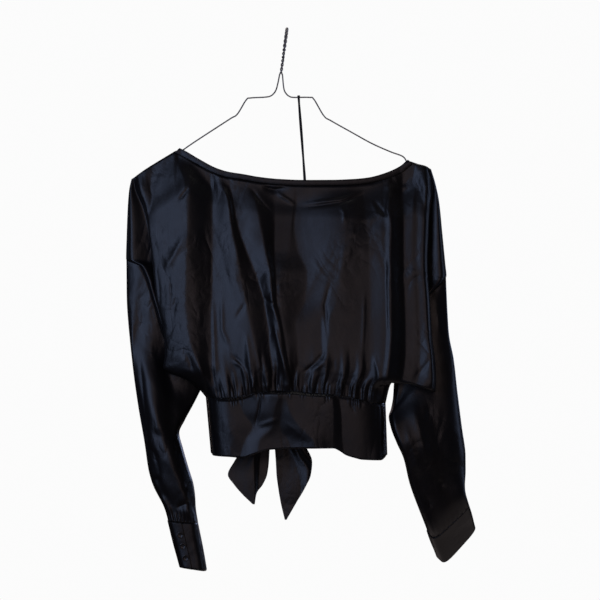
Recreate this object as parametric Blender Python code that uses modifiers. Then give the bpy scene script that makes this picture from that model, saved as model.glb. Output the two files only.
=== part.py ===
"""Satin crop top with a boat neck, batwing fronts and a tied, open back, on a twisted-wire hanger.

Run with: blender --background --python part.py

Frame: metres, +Z up, +X to the wearer's left, the front of the top faces -Y.
The origin is the highest point inside the hanger's hook, where a rod holds it.
The tables below are in millimetres. Each panel is a grid of cloth: "level" runs down it,
0 at the shoulder and neck and 1 at the waist seam, and "across" runs from side to side.
"""

import math
from collections import namedtuple

import bmesh
import bpy
import numpy as np
from mathutils import Vector

MM = 0.001
COLLECTION = "crop_top"

# ---- driving dimensions, mm ----
WALL = 1.2              # satin panel
BAND_WALL = 1.6         # waistband, cuffs and binding are two layers thick
SEAM_GAP = 0.3
BINDING_WIDTH = 7.6
GATHERS = 40            # gathers sewn into the front of the waistband
BACK_GATHERS = 16       # and into each side of its back
GATHER_HEIGHT = 2.2
GATHER_LEVEL = 0.93     # where the gathers start
PANEL_DROP = 300.0      # height of a panel near the shoulders, from its fold to the waist seam
WAIST_DEPTH = 50.0      # from the middle plane to the front and to the back
CUFF_WALL = 1.5
CUFF_OVERLAP = 14.0     # length of cuff under the buttons, mm round the wrist
CUFF_LIFT = 2.25        # how far the lapped end stands off the other end
BUTTON_RADIUS = 4.6
BUTTON_THICKNESS = 2.2
WIRE_RADIUS = 1.05
STRAND_OFFSET = 1.2     # from the middle of the twist to the middle of one strand
TWIST_PITCH = 13.0
HOOK_INNER_RADIUS = 18.0
HOOK_LEAN = math.radians(7.7)
BINDING_LENGTH = 330.0  # of each strip, corner to corner in front and down to the waist behind
LOOP_WIDTH = 3.2
LOOP_WALL = 1.0
TIE_WALL = 1.4

# ---- sides of the bodice: one row for each level ----
Edge = namedtuple("Edge", "level x y z")

# The outer edge of the batwing, which folds back on itself
LOBE = {
    "left": [
        Edge(0.00, -217.0, 0.4, -209.3), Edge(0.05, -212.0, 6.5, -228.0), Edge(0.11, -201.6, 12.0, -254.4),
        Edge(0.20, -197.3, 17.0, -286.0), Edge(0.32, -192.3, 21.0, -326.0), Edge(0.48, -185.9, 25.0, -381.7),
        Edge(0.62, -175.9, 28.0, -429.0), Edge(0.72, -173.0, 29.0, -457.5), Edge(0.80, -175.9, 27.0, -481.8),
        Edge(0.85, -167.3, 25.0, -489.7), Edge(0.90, -147.3, 19.0, -497.5), Edge(0.96, -123.8, 12.0, -513.3),
        Edge(1.00, -113.4, 8.5, -524.7)],
    "right": [
        Edge(0.00, 202.5, 0.4, -196.6), Edge(0.05, 205.0, 6.5, -228.0), Edge(0.11, 203.1, 12.0, -254.4),
        Edge(0.20, 201.6, 17.0, -293.0), Edge(0.32, 200.2, 21.0, -331.7), Edge(0.48, 203.1, 25.0, -386.0),
        Edge(0.62, 205.9, 28.0, -436.0), Edge(0.72, 210.2, 29.0, -472.0), Edge(0.80, 211.6, 29.0, -499.0),
        Edge(0.85, 210.2, 27.0, -517.0), Edge(0.90, 186.0, 22.0, -508.5), Edge(0.93, 165.0, 18.0, -501.0),
        Edge(0.96, 148.5, 13.0, -503.5), Edge(1.00, 138.1, 8.5, -534.7)]}

# The bottom of the tuck behind that edge, where the cloth turns outwards again
TROUGH = {
    "left": [
        Edge(0.00, -219.5, 0.4, -210.9), Edge(0.05, -214.0, 3.0, -229.0), Edge(0.11, -199.0, 5.0, -255.0),
        Edge(0.20, -187.0, 7.0, -289.0), Edge(0.32, -177.0, 8.5, -330.0), Edge(0.48, -166.0, 9.5, -386.0),
        Edge(0.62, -155.0, 10.0, -433.0), Edge(0.72, -149.0, 10.0, -461.0), Edge(0.80, -141.0, 9.5, -482.0),
        Edge(0.85, -134.5, 8.5, -495.0), Edge(0.90, -126.8, 6.5, -507.0), Edge(0.96, -120.6, 5.2, -517.0),
        Edge(1.00, -115.2, 4.5, -524.7)],
    "right": [
        Edge(0.00, 204.2, 0.4, -197.6), Edge(0.05, 207.0, 3.0, -227.0), Edge(0.11, 201.0, 5.0, -253.0),
        Edge(0.20, 192.0, 7.0, -294.0), Edge(0.32, 184.0, 8.5, -336.0), Edge(0.48, 176.0, 9.5, -390.0),
        Edge(0.62, 168.0, 10.0, -434.0), Edge(0.72, 162.0, 10.0, -462.0), Edge(0.80, 157.5, 9.5, -479.0),
        Edge(0.85, 154.0, 8.5, -487.0), Edge(0.90, 151.5, 7.0, -494.0), Edge(0.96, 146.5, 5.4, -508.0),
        Edge(1.00, 139.9, 4.5, -534.7)]}

# Where the panel ends: the fold over the arm, then the sleeve seam to the underarm, then the side seam
ARM_END = {
    "left": [
        Edge(0.00, -222.4, 0.4, -212.7), Edge(0.05, -225.8, 0.8, -229.0), Edge(0.11, -227.8, 0.8, -254.0),
        Edge(0.20, -229.2, 0.8, -290.0), Edge(0.32, -230.2, 0.8, -327.4), Edge(0.36, -212.0, 5.5, -336.0),
        Edge(0.48, -192.5, 7.5, -386.0), Edge(0.62, -178.5, 8.0, -431.0), Edge(0.72, -165.5, 8.0, -460.0),
        Edge(0.80, -152.0, 7.5, -483.0), Edge(0.85, -141.5, 6.0, -496.5), Edge(0.90, -131.0, 3.0, -508.0),
        Edge(0.93, -124.4, 0.8, -514.6), Edge(1.00, -115.8, 0.8, -524.7)],
    "right": [
        Edge(0.00, 205.9, 0.4, -198.7), Edge(0.05, 212.6, 0.8, -221.0), Edge(0.11, 217.6, 0.8, -246.0),
        Edge(0.20, 222.2, 0.8, -291.0), Edge(0.32, 227.0, 0.8, -340.0), Edge(0.36, 228.1, 0.8, -350.5),
        Edge(0.48, 200.0, 7.5, -384.0), Edge(0.62, 182.0, 8.0, -430.0), Edge(0.72, 171.5, 8.0, -459.0),
        Edge(0.80, 165.0, 7.5, -475.5), Edge(0.85, 161.5, 6.0, -483.5), Edge(0.90, 158.5, 3.0, -491.0),
        Edge(0.93, 155.0, 0.8, -497.5), Edge(0.96, 147.0, 0.8, -508.5), Edge(1.00, 140.5, 0.8, -534.7)]}
SLEEVE_SEAM = {"left": (0.32, 0.93), "right": (0.36, 0.93)}   # levels where the sleeve is sewn on

# The open back: its edge from the neck corner to the waist
BACK_EDGE = {
    "left": [
        Edge(0.00, -153.7, 0.4, -168.6), Edge(0.05, -145.5, 4.5, -190.0), Edge(0.15, -133.0, 8.0, -222.0),
        Edge(0.35, -108.0, 18.0, -293.0), Edge(0.60, -79.0, 32.0, -384.0), Edge(0.85, -56.0, 46.0, -468.0),
        Edge(1.00, -50.0, 50.0, -521.0)],
    "right": [
        Edge(0.00, 173.0, 0.4, -185.2), Edge(0.05, 163.0, 4.5, -207.0), Edge(0.15, 147.0, 8.0, -237.0),
        Edge(0.35, 110.0, 18.0, -303.0), Edge(0.60, 67.0, 32.0, -389.0), Edge(0.85, 25.0, 46.0, -470.0),
        Edge(1.00, 12.0, 50.0, -521.0)]}

# ---- lines across the top and the waist: height for each place across ----
Line = namedtuple("Line", "x z")
SHOULDER = {
    "left": [Line(-222.4, -212.7), Line(-216.2, -208.0), Line(-200.8, -197.2), Line(-174.5, -181.0),
             Line(-153.7, -168.6), Line(-120.0, -148.0)],
    "right": [Line(140.0, -171.0), Line(173.0, -185.2), Line(182.6, -189.8), Line(198.2, -194.0),
              Line(205.9, -198.7)]}
NECKLINE = [Line(-175.0, -160.0), Line(-153.7, -168.6), Line(-143.3, -173.9), Line(-127.8, -183.2),
            Line(-101.5, -197.2), Line(-84.4, -202.7), Line(-62.9, -206.2), Line(-39.3, -210.4),
            Line(-10.0, -213.4), Line(24.3, -214.7), Line(64.3, -214.5), Line(92.5, -213.4),
            Line(115.8, -211.1), Line(138.7, -205.0), Line(161.6, -194.6), Line(173.0, -185.2),
            Line(190.0, -170.0)]
WAIST = [Line(-115.8, -524.7), Line(-86.5, -526.1), Line(-68.6, -523.9), Line(-53.2, -520.8),
         Line(-21.4, -516.6), Line(5.7, -516.1), Line(29.7, -519.0), Line(65.8, -521.4),
         Line(89.8, -525.0), Line(104.0, -528.6), Line(123.0, -533.9), Line(140.5, -534.7)]
BAND_HEM = [Line(-108.5, -604.0), Line(-104.4, -607.4), Line(-80.5, -608.7), Line(-62.9, -610.0),
            Line(-47.3, -605.1), Line(-26.0, -598.5), Line(4.3, -596.8), Line(65.8, -596.2),
            Line(74.4, -599.8), Line(83.8, -606.0), Line(95.7, -609.8), Line(107.2, -612.5),
            Line(132.4, -613.5), Line(143.0, -607.0)]

# ---- depth of the body, front and back alike: middle of the panel, and how square the section is ----
Section = namedtuple("Section", "level depth square")
BODY = [
    Section(0.00, 12.0, 2.4), Section(0.10, 17.0, 2.6), Section(0.25, 24.0, 3.0), Section(0.50, 33.0, 3.0),
    Section(0.75, 42.0, 2.6), Section(0.90, 48.0, 2.2), Section(1.00, 50.0, 2.0)]

# ---- largest folds: a line through three points, its half width and its height (- is a hollow) ----
Fold = namedtuple("Fold", "top_x top_z mid_x mid_z low_x low_z width height")
FRONT_FOLDS = [
    Fold(-139, -225, -144, -330, -136, -440, 13, 4.5),
    Fold(-107, -235, -107, -370, -106, -515, 12, -5.0),
    Fold(-90, -225, -74, -320, -40, -470, 13, 4.5),
    Fold(-78, -245, -62, -320, -30, -390, 9, -4.0),
    Fold(-56, -225, -34, -320, 2, -500, 12, 4.5),
    Fold(6, -275, -10, -330, -18, -400, 12, -4.5),
    Fold(84, -280, 66, -350, 58, -470, 13, 4.5),
    Fold(123, -245, 130, -370, 118, -480, 14, -4.5),
    Fold(148, -235, 152, -350, 150, -470, 12, 5.0)]
BACK_FOLDS = {
    "left": [
        Fold(-150, -240, -140, -360, -118, -500, 13, 4.0), Fold(-128, -270, -112, -380, -92, -510, 12, -4.0),
        Fold(-100, -330, -84, -420, -66, -510, 12, 4.0)],
    "right": [
        Fold(165, -250, 158, -360, 132, -500, 13, 4.0), Fold(138, -280, 124, -380, 100, -510, 12, -4.0),
        Fold(100, -330, 76, -420, 48, -510, 12, 4.0)]}

# ---- sleeves: outer and inner edge of each ring, its depth front and back, its set to the rear ----
Ring = namedtuple("Ring", "outer_x outer_z inner_x inner_z depth back")
SLEEVE = {
    "left": [
        Ring(-230.2, -327.4, -124.4, -514.7, 8, 0), Ring(-229.7, -372, -132.5, -531, 10, 0),
        Ring(-226.4, -419, -139.0, -543, 14, 0), Ring(-220.9, -475, -147.3, -559, 22, 0),
        Ring(-213.1, -532, -155.0, -577, 29, 0), Ring(-203.1, -590, -149.4, -600, 31, 0),
        Ring(-197.3, -629, -142.0, -626, 32, 0), Ring(-190.2, -653, -134.4, -651, 32, 0),
        Ring(-177.3, -683, -129.4, -679, 31, 0), Ring(-169.6, -700.3, -128.6, -703.2, 29, 0)],
    "right": [
        Ring(228.1, -350.5, 156.6, -497.5, 8, 0), Ring(229.5, -390, 154.5, -520, 9, 0),
        Ring(231.7, -432, 149.5, -540, 11, 0), Ring(238.8, -472, 145.9, -553.3, 15, 0),
        Ring(244.1, -518, 149.0, -569, 23, 0), Ring(250.2, -567, 157.3, -590.5, 27, 0),
        Ring(255.7, -608, 167.3, -613, 26, 2), Ring(256.0, -634, 176.0, -649, 22, 5),
        Ring(254.5, -655, 190.2, -687.7, 17, 9), Ring(257.0, -674.0, 205.0, -722.6, 12, 14)]}

# ---- cuffs: top and bottom ring, the seam and the opening for the hand ----
CUFF = {
    "left": [Ring(-169.5, -700.9, -128.3, -703.8, 29, 0), Ring(-152.5, -766.5, -115.4, -772.5, 30, 0)],
    "right": [Ring(257.4, -674.6, 205.6, -723.1, 12, 14.4), Ring(268.9, -711.0, 221.8, -762.3, 12.5, 60)]}
BUTTON_PLACES = (0.27, 0.51, 0.76)        # down the cuff
BUTTON_ANGLE = {"left": 72.0, "right": 225.0}   # round the cuff from its outer edge, degrees

# ---- the tie at the centre of the back: rows down each tail ----
Tie = namedtuple("Tie", "z x_left x_right y")
TIE_TAIL = {
    "left": [Tie(-571.5, -34, -22.5, 57.0), Tie(-585, -50, -23.5, 58.5), Tie(-602.9, -65.1, -25.6, 58.0),
             Tie(-621.1, -77.3, -26.6, 56.0), Tie(-639.4, -86.1, -29.1, 54.0), Tie(-653.6, -77.3, -35.2, 53.0),
             Tie(-667.8, -65.1, -45.1, 52.5), Tie(-682.3, -49.9, -47.4, 52.0)],
    "right": [Tie(-571.5, -20.0, -8, 57.0), Tie(-585, -19.0, 14, 58.5), Tie(-602.9, -17.8, 29.1, 58.0),
              Tie(-621.1, -16.5, 36.2, 56.0), Tie(-639.4, -15.5, 34.2, 54.0), Tie(-659.6, -12.9, 25.1, 53.0),
              Tie(-679.9, -9.4, 13.4, 52.5), Tie(-704.8, -3.5, -0.9, 52.0)]}
KNOT = {"x": -21.0, "y": 57.0, "z": -556.0, "wide": 17.0, "deep": 10.0, "high": 15.0}   # half sizes
KNOT_RIDGE = 0.12
# The tied ends of the waistband narrow towards the knot: share of its height where each edge runs
BandRow = namedtuple("BandRow", "away top bottom")
BACK_BAND = [BandRow(0.0, 0.32, 0.58), BandRow(8.0, 0.20, 0.70), BandRow(17.0, 0.04, 0.90),
             BandRow(26.0, 0.0, 1.0), BandRow(120.0, 0.0, 1.0)]

# ---- hanger: points of each wire below the twist, all at y = 0 ----
HANGER_ARM = {
    "left": [
        Line(-10.6, -63.0), Line(-13.2, -76.0), Line(-16.4, -86.5), Line(-22.5, -93.2), Line(-31.0, -95.4),
        Line(-52.0, -96.6), Line(-58.5, -99.5), Line(-71.1, -119.7), Line(-81.0, -126.2),
        Line(-110.0, -145.0), Line(-138.0, -163.4)],
    "right": [
        Line(-6.6, -63.0), Line(-4.6, -82.7), Line(-1.5, -90.0), Line(3.5, -94.4), Line(10.0, -95.8),
        Line(32.0, -95.8), Line(38.5, -98.5), Line(52.8, -122.2), Line(64.0, -129.8), Line(93.7, -146.5),
        Line(121.5, -161.8), Line(148.0, -173.6)]}
# Under the shoulders each wire follows the fold above it: how far below, from the neck corner to the tip
HANGER_TIP = {
    "left": [Line(-153.7, 6.0), Line(-158.0, 5.4), Line(-165.0, 4.4), Line(-178.0, 3.2), Line(-192.0, 3.1),
             Line(-206.0, 3.3)],
    "right": [Line(166.0, -1.5), Line(173.0, 5.4), Line(180.0, 7.2), Line(188.0, 5.0), Line(194.5, 3.9)]}
HANGER_CURL = {"left": Line(-210.5, -209.0), "right": Line(197.5, -199.5)}
LOOP_TOP = Line(16.6, -93.0)     # where the ribbon passes over the wire
LOOP_FOOT = Line(26.2, -226.0)   # where it is sewn inside the neckline

NECK_CORNER = {"left": -161.2, "right": 180.0}   # where the binding's lower edge meets the shoulder fold

COLOURS = {          # base colour, roughness, metallic
    "satin": ((0.013, 0.012, 0.014), 0.34, 0.0),
    "binding": ((0.011, 0.010, 0.011), 0.42, 0.0),
    "ribbon": ((0.010, 0.010, 0.010), 0.50, 0.0),
    "button": ((0.020, 0.018, 0.018), 0.25, 0.0),
    "wire": ((0.30, 0.27, 0.24), 0.35, 0.9)}


# ---------------------------------------------------------------- curves through a table

def column(rows, name):
    return np.array([getattr(row, name) for row in rows], dtype=float)


def through(places, values, at):
    """A smooth curve through a table's values that never overshoots them (monotone cubic)."""
    steps = np.diff(places)
    slopes = np.diff(values) / steps
    tangents = np.zeros(len(values))
    for i in range(1, len(values) - 1):
        if slopes[i - 1] * slopes[i] > 0:
            tangents[i] = 2 * slopes[i - 1] * slopes[i] / (slopes[i - 1] + slopes[i])
    tangents[0] = slopes[0]
    tangents[-1] = slopes[-1]
    at = min(max(at, places[0]), places[-1])
    i = min(int(np.searchsorted(places, at, side="right")) - 1, len(steps) - 1)
    t = (at - places[i]) / steps[i]
    rise = values[i + 1] - values[i]
    return (values[i] + rise * t * t * (3 - 2 * t)
            + steps[i] * t * (1 - t) * (tangents[i] * (1 - t) - tangents[i + 1] * t))


def edge_at(rows, level):
    """Point of an edge table at a level, with y as depth from the middle plane."""
    levels = column(rows, "level")
    return np.array([through(levels, column(rows, axis), level) for axis in ("x", "y", "z")])


def line_at(rows, x):
    return through(column(rows, "x"), column(rows, "z"), x)


def ease(t):
    t = min(max(t, 0.0), 1.0)
    return t * t * (3 - 2 * t)


def spline(points, t):
    """Catmull-Rom curve through points; t runs from 0 to the last point's number."""
    i = min(int(t), len(points) - 2)
    f = t - i
    before = points[i - 1] if i > 0 else 2 * points[0] - points[1]
    after = points[i + 2] if i + 2 < len(points) else 2 * points[-1] - points[-2]
    a, b = points[i], points[i + 1]
    return 0.5 * (2 * a + (b - before) * f + (2 * before - 5 * a + 4 * b - after) * f * f
                  + (3 * a - before - 3 * b + after) * f ** 3)


# ---------------------------------------------------------------- the shape of the body

def top_height(x):
    """Top of the panels: the shoulder fold outside the neck corners, the binding's lower edge between."""
    slope = (line_at(NECKLINE, x + 2) - line_at(NECKLINE, x - 2)) / 4
    under_binding = line_at(NECKLINE, x) - (BINDING_WIDTH + SEAM_GAP) * math.hypot(1, slope)
    shoulder = line_at(SHOULDER["left"] if x < 0 else SHOULDER["right"], x) - WALL / 2
    if abs(x) < 100:
        return under_binding
    return min(under_binding, shoulder)


def neck_depth(x):
    """How far the neckline hangs in front of the hanger: nothing at its corners, 12 mm at the middle."""
    middle, half = 5.0, 160.0
    return 2.4 + 9.6 * max(0.0, 1 - ((x - middle) / half) ** 2) ** 0.8


def on_shoulder(x):
    """1 on the shoulder fold, 0 under the neck binding."""
    return ease((NECK_CORNER["left"] + 5 - x) / 6) + ease((x - NECK_CORNER["right"]) / 6)


def shoulder_depth(drop):
    """The cloth turns over the wire: depth at a distance below the fold."""
    return through((0.0, 0.6, 2.2, 9.0, 40.0), (0.4, 1.7, 2.7, 3.7, 5.0), drop)


def waist_depth(x):
    """Plan of the waist seam: an oval between the sides, then a quick turn into each side seam."""
    left, right = LOBE["left"][-1], LOBE["right"][-1]
    if x < left.x or x > right.x:
        edge, seam = (left, WAIST[0].x) if x < left.x else (right, WAIST[-1].x)
        return left.y * max(0.0, (x - seam) / (edge.x - seam)) ** 0.5
    across = (2 * x - left.x - right.x) / (right.x - left.x)
    return left.y + (WAIST_DEPTH - left.y) * (1 - across * across) ** 0.5


def fold_height(folds, x, z):
    height = 0.0
    for fold in folds:
        places = (-fold.top_z, -fold.mid_z, -fold.low_z)
        middle = through(places, (fold.top_x, fold.mid_x, fold.low_x), -z)
        run_out = 0.22 * (fold.top_z - fold.low_z)
        fade = ease((fold.top_z - z) / run_out + 0.5) * ease((z - fold.low_z) / run_out + 0.5)
        height += fold.height * fade * math.exp(-((x - middle) / fold.width) ** 2)
    return height


def gather_height(turn, level):
    """Ridges that grow towards the waist seam; turn counts the gathers from one side, .5 is a hollow."""
    grow = ease((level - GATHER_LEVEL) / (1 - GATHER_LEVEL))
    uneven = 1 + 0.35 * math.sin(2.4 * turn) + 0.2 * math.sin(5.1 * turn + 1)
    return GATHER_HEIGHT * grow * uneven * math.cos(2 * math.pi * turn)


def arm_point(side, part, level):
    """Cloth beside the body: part 0 is the panel's end, 2 the bottom of the tuck, 4 the batwing's edge."""
    end = edge_at(ARM_END[side], level)
    trough = edge_at(TROUGH[side], level)
    lobe = edge_at(LOBE[side], level)
    arm = (end + trough) / 2
    tuck = (trough + lobe) / 2
    return spline([end, arm, trough, tuck, lobe], part)


def front_depth(across, level, x):
    """Depth of the front between the batwing's edges; across runs from -1 to 1."""
    levels = column(BODY, "level")
    middle = through(levels, column(BODY, "depth"), level)
    square = through(levels, column(BODY, "square"), level)
    side = "left" if across < 0 else "right"
    edge = edge_at(LOBE[side], level)[1]
    body = edge + (middle - edge) * max(0.0, 1 - abs(across) ** square) ** 0.5
    blend = max(ease(level / 0.16), 1 - ease((1 - abs(across)) / 0.12))
    over = on_shoulder(x)
    top = neck_depth(x) * (1 - over) + shoulder_depth(PANEL_DROP * level) * over
    return top * (1 - blend) + body * blend


def top_place(across):
    """Where a column of the front panel starts along the top."""
    return LOBE["left"][0].x + (LOBE["right"][0].x - LOBE["left"][0].x) * (across + 1) / 2


def front_point(across, level):
    """A point of the front panel. Beyond -1 and 1 it is the cloth beside the body, up to -5 and 5."""
    if abs(across) > 1:
        side = "left" if across < 0 else "right"
        x, depth, z = arm_point(side, 5 - abs(across), level)
        return np.array([x, -depth, z])
    left = edge_at(LOBE["left"], level)
    right = edge_at(LOBE["right"], level)
    share = (across + 1) / 2
    x = left[0] + (right[0] - left[0]) * share
    low_x = LOBE["left"][-1].x + (LOBE["right"][-1].x - LOBE["left"][-1].x) * share
    top = top_height(top_place(across))
    low = line_at(WAIST, low_x)
    z = top + (low - top) * level
    edge = left if across < 0 else right
    end_x = LOBE["left"][0].x if across < 0 else LOBE["right"][0].x
    end_low = LOBE["left"][-1].z if across < 0 else LOBE["right"][-1].z
    end_z = top_height(end_x) + (end_low - top_height(end_x)) * level
    z += (edge[2] - end_z) * abs(across) ** 3
    depth = front_depth(across, level, x)
    inside = ease((1 - abs(across)) / 0.08)
    depth += fold_height(FRONT_FOLDS, x, z) * inside
    depth += gather_height((across + 1) / 2 * GATHERS, level) * inside
    return np.array([x, -depth, z])


def back_point(side, across, level):
    """A point of a back panel: across is 0 at the batwing's edge and 1 at the open edge's binding,
    and below 0 it is the cloth beside the body, down to -4."""
    if across < 0:
        return arm_point(side, 4 + across, level)
    lobe = edge_at(LOBE[side], level)
    inner = edge_at(BACK_EDGE[side], level)
    point = lobe + (inner - lobe) * across
    top_x = LOBE[side][0].x + (BACK_EDGE[side][0].x - LOBE[side][0].x) * across
    straight = LOBE[side][0].z + (BACK_EDGE[side][0].z - LOBE[side][0].z) * across
    point[2] += (top_height(top_x) - straight) * (1 - ease(level / 0.3)) * (1 - across)
    low_x = LOBE[side][-1].x + (BACK_EDGE[side][-1].x - LOBE[side][-1].x) * across
    low_straight = LOBE[side][-1].z + (BACK_EDGE[side][-1].z - LOBE[side][-1].z) * across
    point[2] += (back_waist(low_x) - low_straight) * ease((level - 0.6) / 0.4)
    levels = column(BODY, "level")
    middle = through(levels, column(BODY, "depth"), level)
    full = lobe[1] + (middle - lobe[1]) * max(0.0, 1 - (1 - across) ** 2.2) ** 0.5
    body = point[1] + (full - point[1]) * (0.55 + 0.45 * level)
    body += (waist_depth(point[0]) - body) * ease((level - 0.94) / 0.06) * ease(across / 0.02)
    blend = max(ease(level / 0.16), 1 - ease(across / 0.12))
    over = on_shoulder(point[0])
    top = shoulder_depth(PANEL_DROP * level) * over + (2.6 + 60 * level) * (1 - over)
    point[1] = top * (1 - blend) + body * blend
    inside = ease(across / 0.1) * ease((1 - across) / 0.1)
    point[1] += fold_height(BACK_FOLDS[side], point[0], point[2]) * inside
    point[1] += gather_height(across * BACK_GATHERS, level) * ease(across / 0.1)
    return point


def back_waist(x):
    """Top of the waistband at the back, level between the side seams."""
    return through((-115.8, -90.0, -18.0, 110.0, 140.5), (-524.7, -523.0, -521.0, -527.0, -534.7), x)


# ---------------------------------------------------------------- making objects

def material(name):
    colour, roughness, metallic = COLOURS[name.split("__")[0]]
    made = bpy.data.materials.new(name)
    made.use_nodes = True
    shader = made.node_tree.nodes["Principled BSDF"]
    shader.inputs["Base Color"].default_value = (*colour, 1)
    shader.inputs["Roughness"].default_value = roughness
    shader.inputs["Metallic"].default_value = metallic
    return made


def add_object(name, finish, data):
    made = bpy.data.objects.new(name, data)
    bpy.data.collections[COLLECTION].objects.link(made)
    made.data.materials.append(material(finish + "__" + name))
    return made


def cloth(name, finish, columns, rows, place, wall, closed=False, finer_rows=0, trim=None):
    """A grid of cloth put in place by place(column, row), with a wall from Solidify.

    closed sews the first column to the last, as on a sleeve. finer_rows doubles the columns of the
    last rows, for gathers. trim keeps the finished wall on its own side of a seam."""
    mesh = bmesh.new()
    bmesh.ops.create_grid(mesh, x_segments=len(columns) - 1, y_segments=len(rows) - 1, size=1)
    if finer_rows:
        limit = -1 + 2 * (finer_rows + 0.5) / (len(rows) - 1)
        level_edges = [edge for edge in mesh.edges
                       if abs(edge.verts[0].co.y - edge.verts[1].co.y) < 1e-5 and edge.verts[0].co.y < limit]
        bmesh.ops.subdivide_edges(mesh, edges=level_edges, cuts=1, use_grid_fill=True)
    for vert in mesh.verts:
        i = (vert.co.x + 1) / 2 * (len(columns) - 1)
        j = (1 - vert.co.y) / 2 * (len(rows) - 1)
        across = np.interp(i, range(len(columns)), columns)
        down = np.interp(j, range(len(rows)), rows)
        vert.co = Vector(place(across, down)) * MM
    if closed:
        bmesh.ops.remove_doubles(mesh, verts=mesh.verts, dist=1e-6)
    data = bpy.data.meshes.new(name)
    mesh.to_mesh(data)
    mesh.free()
    made = add_object(name, finish, data)
    thick = made.modifiers.new("wall", "SOLIDIFY")
    thick.thickness = wall * MM
    thick.offset = 0
    if trim:
        walled = made.evaluated_get(bpy.context.evaluated_depsgraph_get())
        made.data = bpy.data.meshes.new_from_object(walled)
        made.modifiers.clear()
        for vert in made.data.vertices:
            vert.co = Vector(trim(vert.co / MM)) * MM
    made.data.shade_smooth()
    return made


def trim_front(point):
    """The front stays in front of the middle plane and above the waistband."""
    x, y, z = point
    return x, min(y, -SEAM_GAP / 2), max(z, line_at(WAIST, x))


def trim_back(point):
    x, y, z = point
    return x, max(y, SEAM_GAP / 2), max(z, back_waist(x))


def trim_band_front(point):
    x, y, z = point
    return x, min(y, -SEAM_GAP / 2), min(z, line_at(WAIST, x) - SEAM_GAP)


def trim_band_back(point):
    x, y, z = point
    return x, max(y, SEAM_GAP / 2), min(z, back_waist(x) - SEAM_GAP)


def across_stations(count, beside=(5, 4.6, 4, 3.45, 3, 2.55, 2, 1.45)):
    """Columns of the front: the cloth beside the body on the left, the front, and the right."""
    front = [-1 + 2 * i / count for i in range(count + 1)]
    return [-part for part in beside] + front + [part for part in reversed(beside)]


def top_levels(drops):
    """Levels of the rows over the wire, from their distances below the fold."""
    return [drop / PANEL_DROP for drop in drops]


# ---------------------------------------------------------------- the garment's pieces

LEVELS = top_levels((0, 0.6, 2.2, 7.5)) + [0.05, 0.11, 0.18, 0.25, 0.32, 0.36, 0.42, 0.48, 0.55, 0.62, 0.68,
                                         0.74, 0.8, 0.85, 0.9, 0.93, 0.965, 1.0]


def front_panel():
    columns = across_stations(GATHERS)
    return cloth("front_panel", "satin", columns, LEVELS, front_point, WALL, finer_rows=2, trim=trim_front)


def back_panel(side):
    beside = [-4, -3, -2.45, -2, -1.5, -1, -0.45]
    inside = [i / BACK_GATHERS for i in range(BACK_GATHERS + 1)]
    columns = beside + inside
    if side == "right":
        columns = columns[::-1]

    def place(across, level):
        return back_point(side, across if across < 0 else across * binding_limit(side, level), level)

    return cloth("back_panel_" + side, "satin", columns[::-1], LEVELS, place, WALL, finer_rows=2,
                 trim=trim_back)


def binding_limit(side, level, extra=2.5 * SEAM_GAP):
    """Share of a back row that ends where the binding begins."""
    span = edge_at(BACK_EDGE[side], level) - edge_at(LOBE[side], level)
    return 1 - (BINDING_WIDTH + extra) * 1.12 / np.linalg.norm(span)


def sleeve_rings(side):
    rings = SLEEVE[side]
    fields = np.array(rings, dtype=float)
    return np.linspace(0, 1, len(rings)), fields


def sleeve_point(side, turn, down):
    """turn: 0 at the outer edge, 0.5 at the inner edge, front first; down: 0 at the armhole,
    1 at the cuff."""
    places, fields = sleeve_rings(side)
    ring = Ring(*[through(places, fields[:, i], down) for i in range(fields.shape[1])])
    angle = 2 * math.pi * turn
    share = (1 - math.cos(angle)) / 2
    x = ring.outer_x + (ring.inner_x - ring.outer_x) * share
    z = ring.outer_z + (ring.inner_z - ring.outer_z) * share
    point = np.array([x, -ring.depth * math.sin(angle) + ring.back, z])
    cuffed = ease((down - 0.75) / 0.25)
    if cuffed > 0:
        point = point * (1 - cuffed) + cuff_point(side, turn, -0.008 - (1 - down) * 3.5, 0) * cuffed
    sewn = ease(1 - down / 0.33)
    if sewn > 0:
        point = point * (1 - sewn) + armhole_point(side, turn, down) * sewn
    return point


def seam_levels(side):
    """Levels of the panels' rows that end on the armhole seam."""
    first, last = SLEEVE_SEAM[side]
    return [level for level in LEVELS if first <= level <= last]


def armhole_point(side, turn, down):
    """Cloth that runs away from the armhole seam, square to the ends of the front and back panels."""
    levels = seam_levels(side)
    first, last = levels[0], levels[-1]
    share = turn * 2 if turn < 0.5 else (1 - turn) * 2
    level = float(np.interp(share * (len(levels) - 1), range(len(levels)), levels))
    share = (level - first) / (last - first)
    point = edge_at(ARM_END[side], level)
    along = edge_at(ARM_END[side], min(level + 0.015, last))
    along = along - edge_at(ARM_END[side], max(level - 0.015, first))
    outward = -1 if side == "left" else 1
    square = np.array([-outward * along[2], 0, outward * along[0]])
    square = square / np.linalg.norm(square)
    first_ring, next_ring = (np.array(ring, dtype=float) for ring in SLEEVE[side][:2])
    hang = (next_ring - first_ring) * down * (len(SLEEVE[side]) - 1)
    x = point[0] + square[0] * 3 * SEAM_GAP + hang[0] * (1 - share) + hang[2] * share
    z = point[2] + square[2] * 3 * SEAM_GAP + hang[1] * (1 - share) + hang[3] * share
    sign = -1 if turn < 0.5 else 1
    closing = min(1.0, 12 * abs(math.sin(2 * math.pi * turn)))    # the tube is closed along both edges
    return np.array([x, sign * point[1] * closing, z])


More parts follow.
